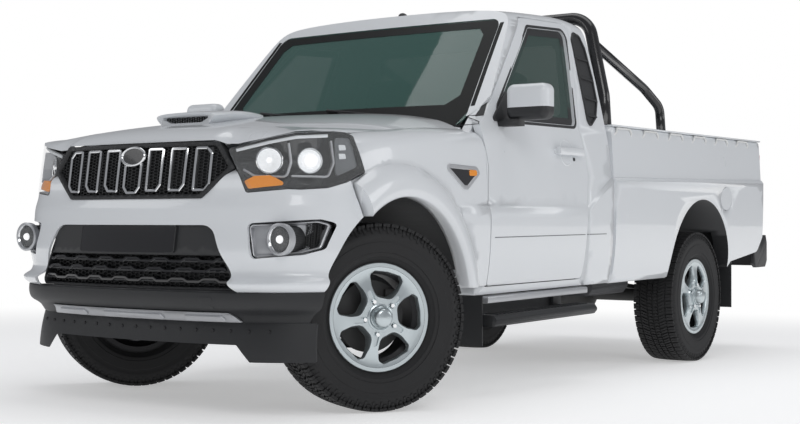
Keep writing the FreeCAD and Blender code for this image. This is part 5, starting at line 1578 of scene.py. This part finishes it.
# bonnet scoop mesh, plain oval on the grille, roof antenna
frontTrim = {
    "ovalHalf": (0.062, 0.036), "ovalCentre": (0, 1.036), "scoopY": -0.345,
    "scoop": [(-0.150, 1.211), (0.150, 1.211), (0.092, 1.187), (-0.092, 1.187)], "scoopCell": (0.018, 0.009),
    "antenna": (0, 1.283), "antennaHalf": (0.020, 0.034, 0.022),
}


def makeFrontTrim():
    oval = circleOutline(*frontTrim["ovalCentre"], *frontTrim["ovalHalf"], 48)
    section = [(0.006, -0.002), (0.005, 0.008), (0, 0.0115), (-0.005, 0.008), (-0.006, -0.002)]
    addPiece("ovalRing", bandOn(nosePlace, oval, section), "body", ["chrome"], 60)
    addPiece("ovalPlate", plateOn(nosePlace, oval, 0.004, -0.003, 0.001, rows=2), "body",
             ["glossBlack"])

    def scoopPlace(x, z, lift=0.0):
        return bodyToRow @ Vector((x, frontTrim["scoopY"] - lift, z))
    honeycomb("scoopMesh", frontTrim["scoop"], 0.0, *frontTrim["scoopCell"], body="bonnet_body",
              place=scoopPlace)
    roof = surfaceMap(["cab_shell"], "z")
    base = roof(*frontTrim["antenna"])
    dome = bmesh.new()
    bmesh.ops.create_uvsphere(dome, u_segments=20, v_segments=12, radius=1)
    movedShape(dome, Matrix.Translation(base) @ Matrix.Diagonal((*frontTrim["antennaHalf"], 1)))
    addPiece("antennaBase", dome, "body", ["blackPlastic"], 60)
    print("front trim made")


# seats: crowned pads on a plain base
seat = {
    "across": 0.360, "power": 5.0, "crown": 0.016,
    "pads": [((-0.250, 1.000, 0.660), (0.250, 1.500, 0.800), 0),
             ((-0.245, -0.065, -0.330), (0.245, 0.065, 0.330), 1),
             ((-0.130, -0.048, -0.085), (0.130, 0.048, 0.085), 2)],
    "backPlace": (1.612, 1.020), "headPlace": (1.685, 1.448), "leanDegrees": -12,
    "base": ((0.160, 1.060, 0.5755), (0.560, 1.440, 0.668)),
    "posts": (0.315, 0.405), "postEnds": ((1.662, 1.300), (1.680, 1.400)),
}


def paddedBlock(low, high, power, crown, cuts=9):
    part = bmesh.new()
    bmesh.ops.create_cube(part, size=2)
    bmesh.ops.subdivide_edges(part, edges=part.edges[:], cuts=cuts, use_grid_fill=True)
    half = (Vector(high) - Vector(low)) / 2
    centre = (Vector(high) + Vector(low)) / 2
    for vertex in part.verts:
        u, v, w = vertex.co
        size = (abs(u) ** power + abs(v) ** power + abs(w) ** power) ** (1 / power)
        swell = crown * (1 - abs(u) ** 2) * (1 - abs(v) ** 2) * (1 if w > 0 else 0)
        vertex.co = Vector((u / size * half.x, v / size * half.y, w / size * half.z + swell)) + centre
    return part


def makeSeats():
    pads = None
    for low, high, kind in seat["pads"]:
        part = paddedBlock(low, high, seat["power"], seat["crown"] if kind == 0 else 0.0)
        if kind:
            y, z = seat["backPlace"] if kind == 1 else seat["headPlace"]
            movedShape(part, Matrix.Translation((0, y, z))
                       @ Matrix.Rotation(math.radians(seat["leanDegrees"]), 4, "X"))
        pads = part if pads is None else mergeShape(pads, part)
    movedShape(pads, bodyToRow @ Matrix.Translation((seat["across"], 0, 0)))
    addPair("seatPads", pads, "body", ["fabric"], 60)
    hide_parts("seats")
    base = softBlock(*seat["base"], chamfer=0.008)
    for x in seat["posts"]:
        tubeAlong([(x, *end) for end in seat["postEnds"]], 0.007, 10, shape=base)
    addPair("seatBase", movedShape(base, bodyToRow), "body", ["blackPlastic"])
    print("seats made")


def makePieces():
    makeTyres()
    makeWheelFace()
    makeGrille()
    makeLowerNose()
    makeHeadlamps()
    makeFogLamps()
    makeFlank()
    dressMirrors()
    makeScreen()
    makeLouvres()
    makeTub()
    makeFrontTrim()
    makeLip()
    makeSeats()


makePieces()
print("pieces made")

# camera at the photograph's view
camera = {
    "place": (3.9875, -4.7023, 0.693), "yaw": 0.6207, "pitch": -0.0098, "roll": 0.0109,
    "focalPixels": 1390.25, "centrePixels": (358.75, 226.63), "imageSize": (800, 424), "sensor": 36.0,
}


def placeCamera():
    data = bpy.data.cameras.new("camera")
    obj = bpy.data.objects.new("camera", data)
    bpy.context.scene.collection.objects.link(obj)
    yaw, pitch, roll = camera["yaw"], camera["pitch"], camera["roll"]
    ahead = Vector((-math.sin(yaw) * math.cos(pitch), math.cos(yaw) * math.cos(pitch), -math.sin(pitch)))
    right = Vector((math.cos(yaw), math.sin(yaw), 0))
    up = right.cross(ahead)
    turnedRight = right * math.cos(roll) + up * math.sin(roll)
    turnedUp = up * math.cos(roll) - right * math.sin(roll)
    obj.matrix_world = rowShift @ Matrix((
        (turnedRight.x, turnedUp.x, -ahead.x, camera["place"][0]),
        (turnedRight.y, turnedUp.y, -ahead.y, camera["place"][1]),
        (turnedRight.z, turnedUp.z, -ahead.z, camera["place"][2]),
        (0, 0, 0, 1),
    ))
    width, height = camera["imageSize"]
    data.sensor_width = camera["sensor"]
    data.lens = camera["focalPixels"] / width * camera["sensor"]
    data.shift_x = (width / 2 - camera["centrePixels"][0]) / width
    data.shift_y = (camera["centrePixels"][1] - height / 2) / width
    data.clip_start = 0.05
    data.clip_end = 200
    bpy.context.scene.camera = obj


# floor, world and soft lamps
studio = {
    "floorHalf": 60.0, "floorColor": (0.86, 0.86, 0.86), "floorGlow": 0.40, "floorFade": (3.4, 7.5),
    "skyColor": (0.93, 0.95, 1.0), "skyStrength": 0.30,
    "lamps": [
        # place, aim, size, power
        ((6.5, -6.0, 5.5), (0.4, -1.0, 0.8), (4.0, 3.0), 130),
        ((-5.5, -7.0, 4.5), (0.0, -2.0, 0.8), (4.0, 3.0), 50),
        ((0.5, 0.0, 7.5), (0.0, 0.0, 0.0), (4.0, 7.0), 130),
        ((7.5, 3.5, 3.5), (0.8, 1.0, 0.9), (4.0, 2.5), 60),
    ],
}


def makeStudio():
    scene = bpy.context.scene
    scene.view_settings.view_transform = "Standard"
    half = studio["floorHalf"]
    shape = bmesh.new()
    corners = ((-half, -half), (half, -half), (half, half), (-half, half))
    shape.faces.new([shape.verts.new((x, y, 0)) for x, y in corners])
    mesh = bpy.data.meshes.new("floor")
    shape.to_mesh(mesh)
    shape.free()
    floor = bpy.data.objects.new("floor", mesh)
    scene.collection.objects.link(floor)
    material = newMaterial("floorPaint", studio["floorColor"], 0.9)
    shader = material.node_tree.nodes["Principled BSDF"]
    shader.inputs["Emission Color"].default_value = (1, 1, 1, 1)
    shader.inputs["Emission Strength"].default_value = studio["floorGlow"]
    floorTree = material.node_tree
    distance = addNode(material, "ShaderNodeVectorMath", operation="LENGTH")
    place = addNode(material, "ShaderNodeTexCoord")
    fade = addNode(material, "ShaderNodeMapRange", interpolation_type="SMOOTHSTEP")
    fade.inputs["From Min"].default_value, fade.inputs["From Max"].default_value = studio["floorFade"]
    glow = addNode(material, "ShaderNodeEmission", Color=(1, 1, 1, 1), Strength=1.0)
    ray = addNode(material, "ShaderNodeLightPath")
    seen = addNode(material, "ShaderNodeMath", operation="MAXIMUM")
    both = addNode(material, "ShaderNodeMath", operation="MULTIPLY")
    blend = addNode(material, "ShaderNodeMixShader")
    linkNodes(floorTree, (
        (place.outputs["Object"], distance.inputs[0]),
        (distance.outputs["Value"], fade.inputs["Value"]),
        (ray.outputs["Is Camera Ray"], seen.inputs[0]),
        (ray.outputs["Is Glossy Ray"], seen.inputs[1]),
        (fade.outputs["Result"], both.inputs[0]),
        (seen.outputs[0], both.inputs[1]),
        (both.outputs[0], blend.inputs["Fac"]),
        (shader.outputs[0], blend.inputs[1]),
        (glow.outputs[0], blend.inputs[2]),
        (blend.outputs[0], floorTree.nodes["Material Output"].inputs["Surface"]),
    ))
    mesh.materials.append(material)
    world = bpy.data.worlds.new("sky")
    world.use_nodes = True
    scene.world = world
    tree = world.node_tree
    sky = tree.nodes["Background"]
    sky.inputs["Color"].default_value = (*studio["skyColor"], 1)
    sky.inputs["Strength"].default_value = studio["skyStrength"]
    white = tree.nodes.new("ShaderNodeBackground")
    white.inputs["Color"].default_value = (1, 1, 1, 1)
    mix = tree.nodes.new("ShaderNodeMixShader")
    path = tree.nodes.new("ShaderNodeLightPath")
    either = tree.nodes.new("ShaderNodeMath")
    either.operation = "MAXIMUM"
    linkNodes(tree, (
        (path.outputs["Is Camera Ray"], either.inputs[0]),
        (path.outputs["Is Transmission Ray"], either.inputs[1]),
        (either.outputs[0], mix.inputs["Fac"]),
        (sky.outputs[0], mix.inputs[1]),
        (white.outputs[0], mix.inputs[2]),
        (mix.outputs[0], tree.nodes["World Output"].inputs["Surface"]),
    ))
    for index, (place, aim, size, power) in enumerate(studio["lamps"]):
        light = bpy.data.lights.new("softLamp%d" % index, "AREA")
        light.shape = "RECTANGLE"
        light.size, light.size_y = size
        light.energy = power
        softLamp = bpy.data.objects.new(light.name, light)
        softLamp.location = place
        softLamp.rotation_mode = "QUATERNION"
        softLamp.rotation_quaternion = (Vector(aim) - Vector(place)).to_track_quat("-Z", "Y")
        scene.collection.objects.link(softLamp)


placeCamera()
makeStudio()
print("camera and studio placed")
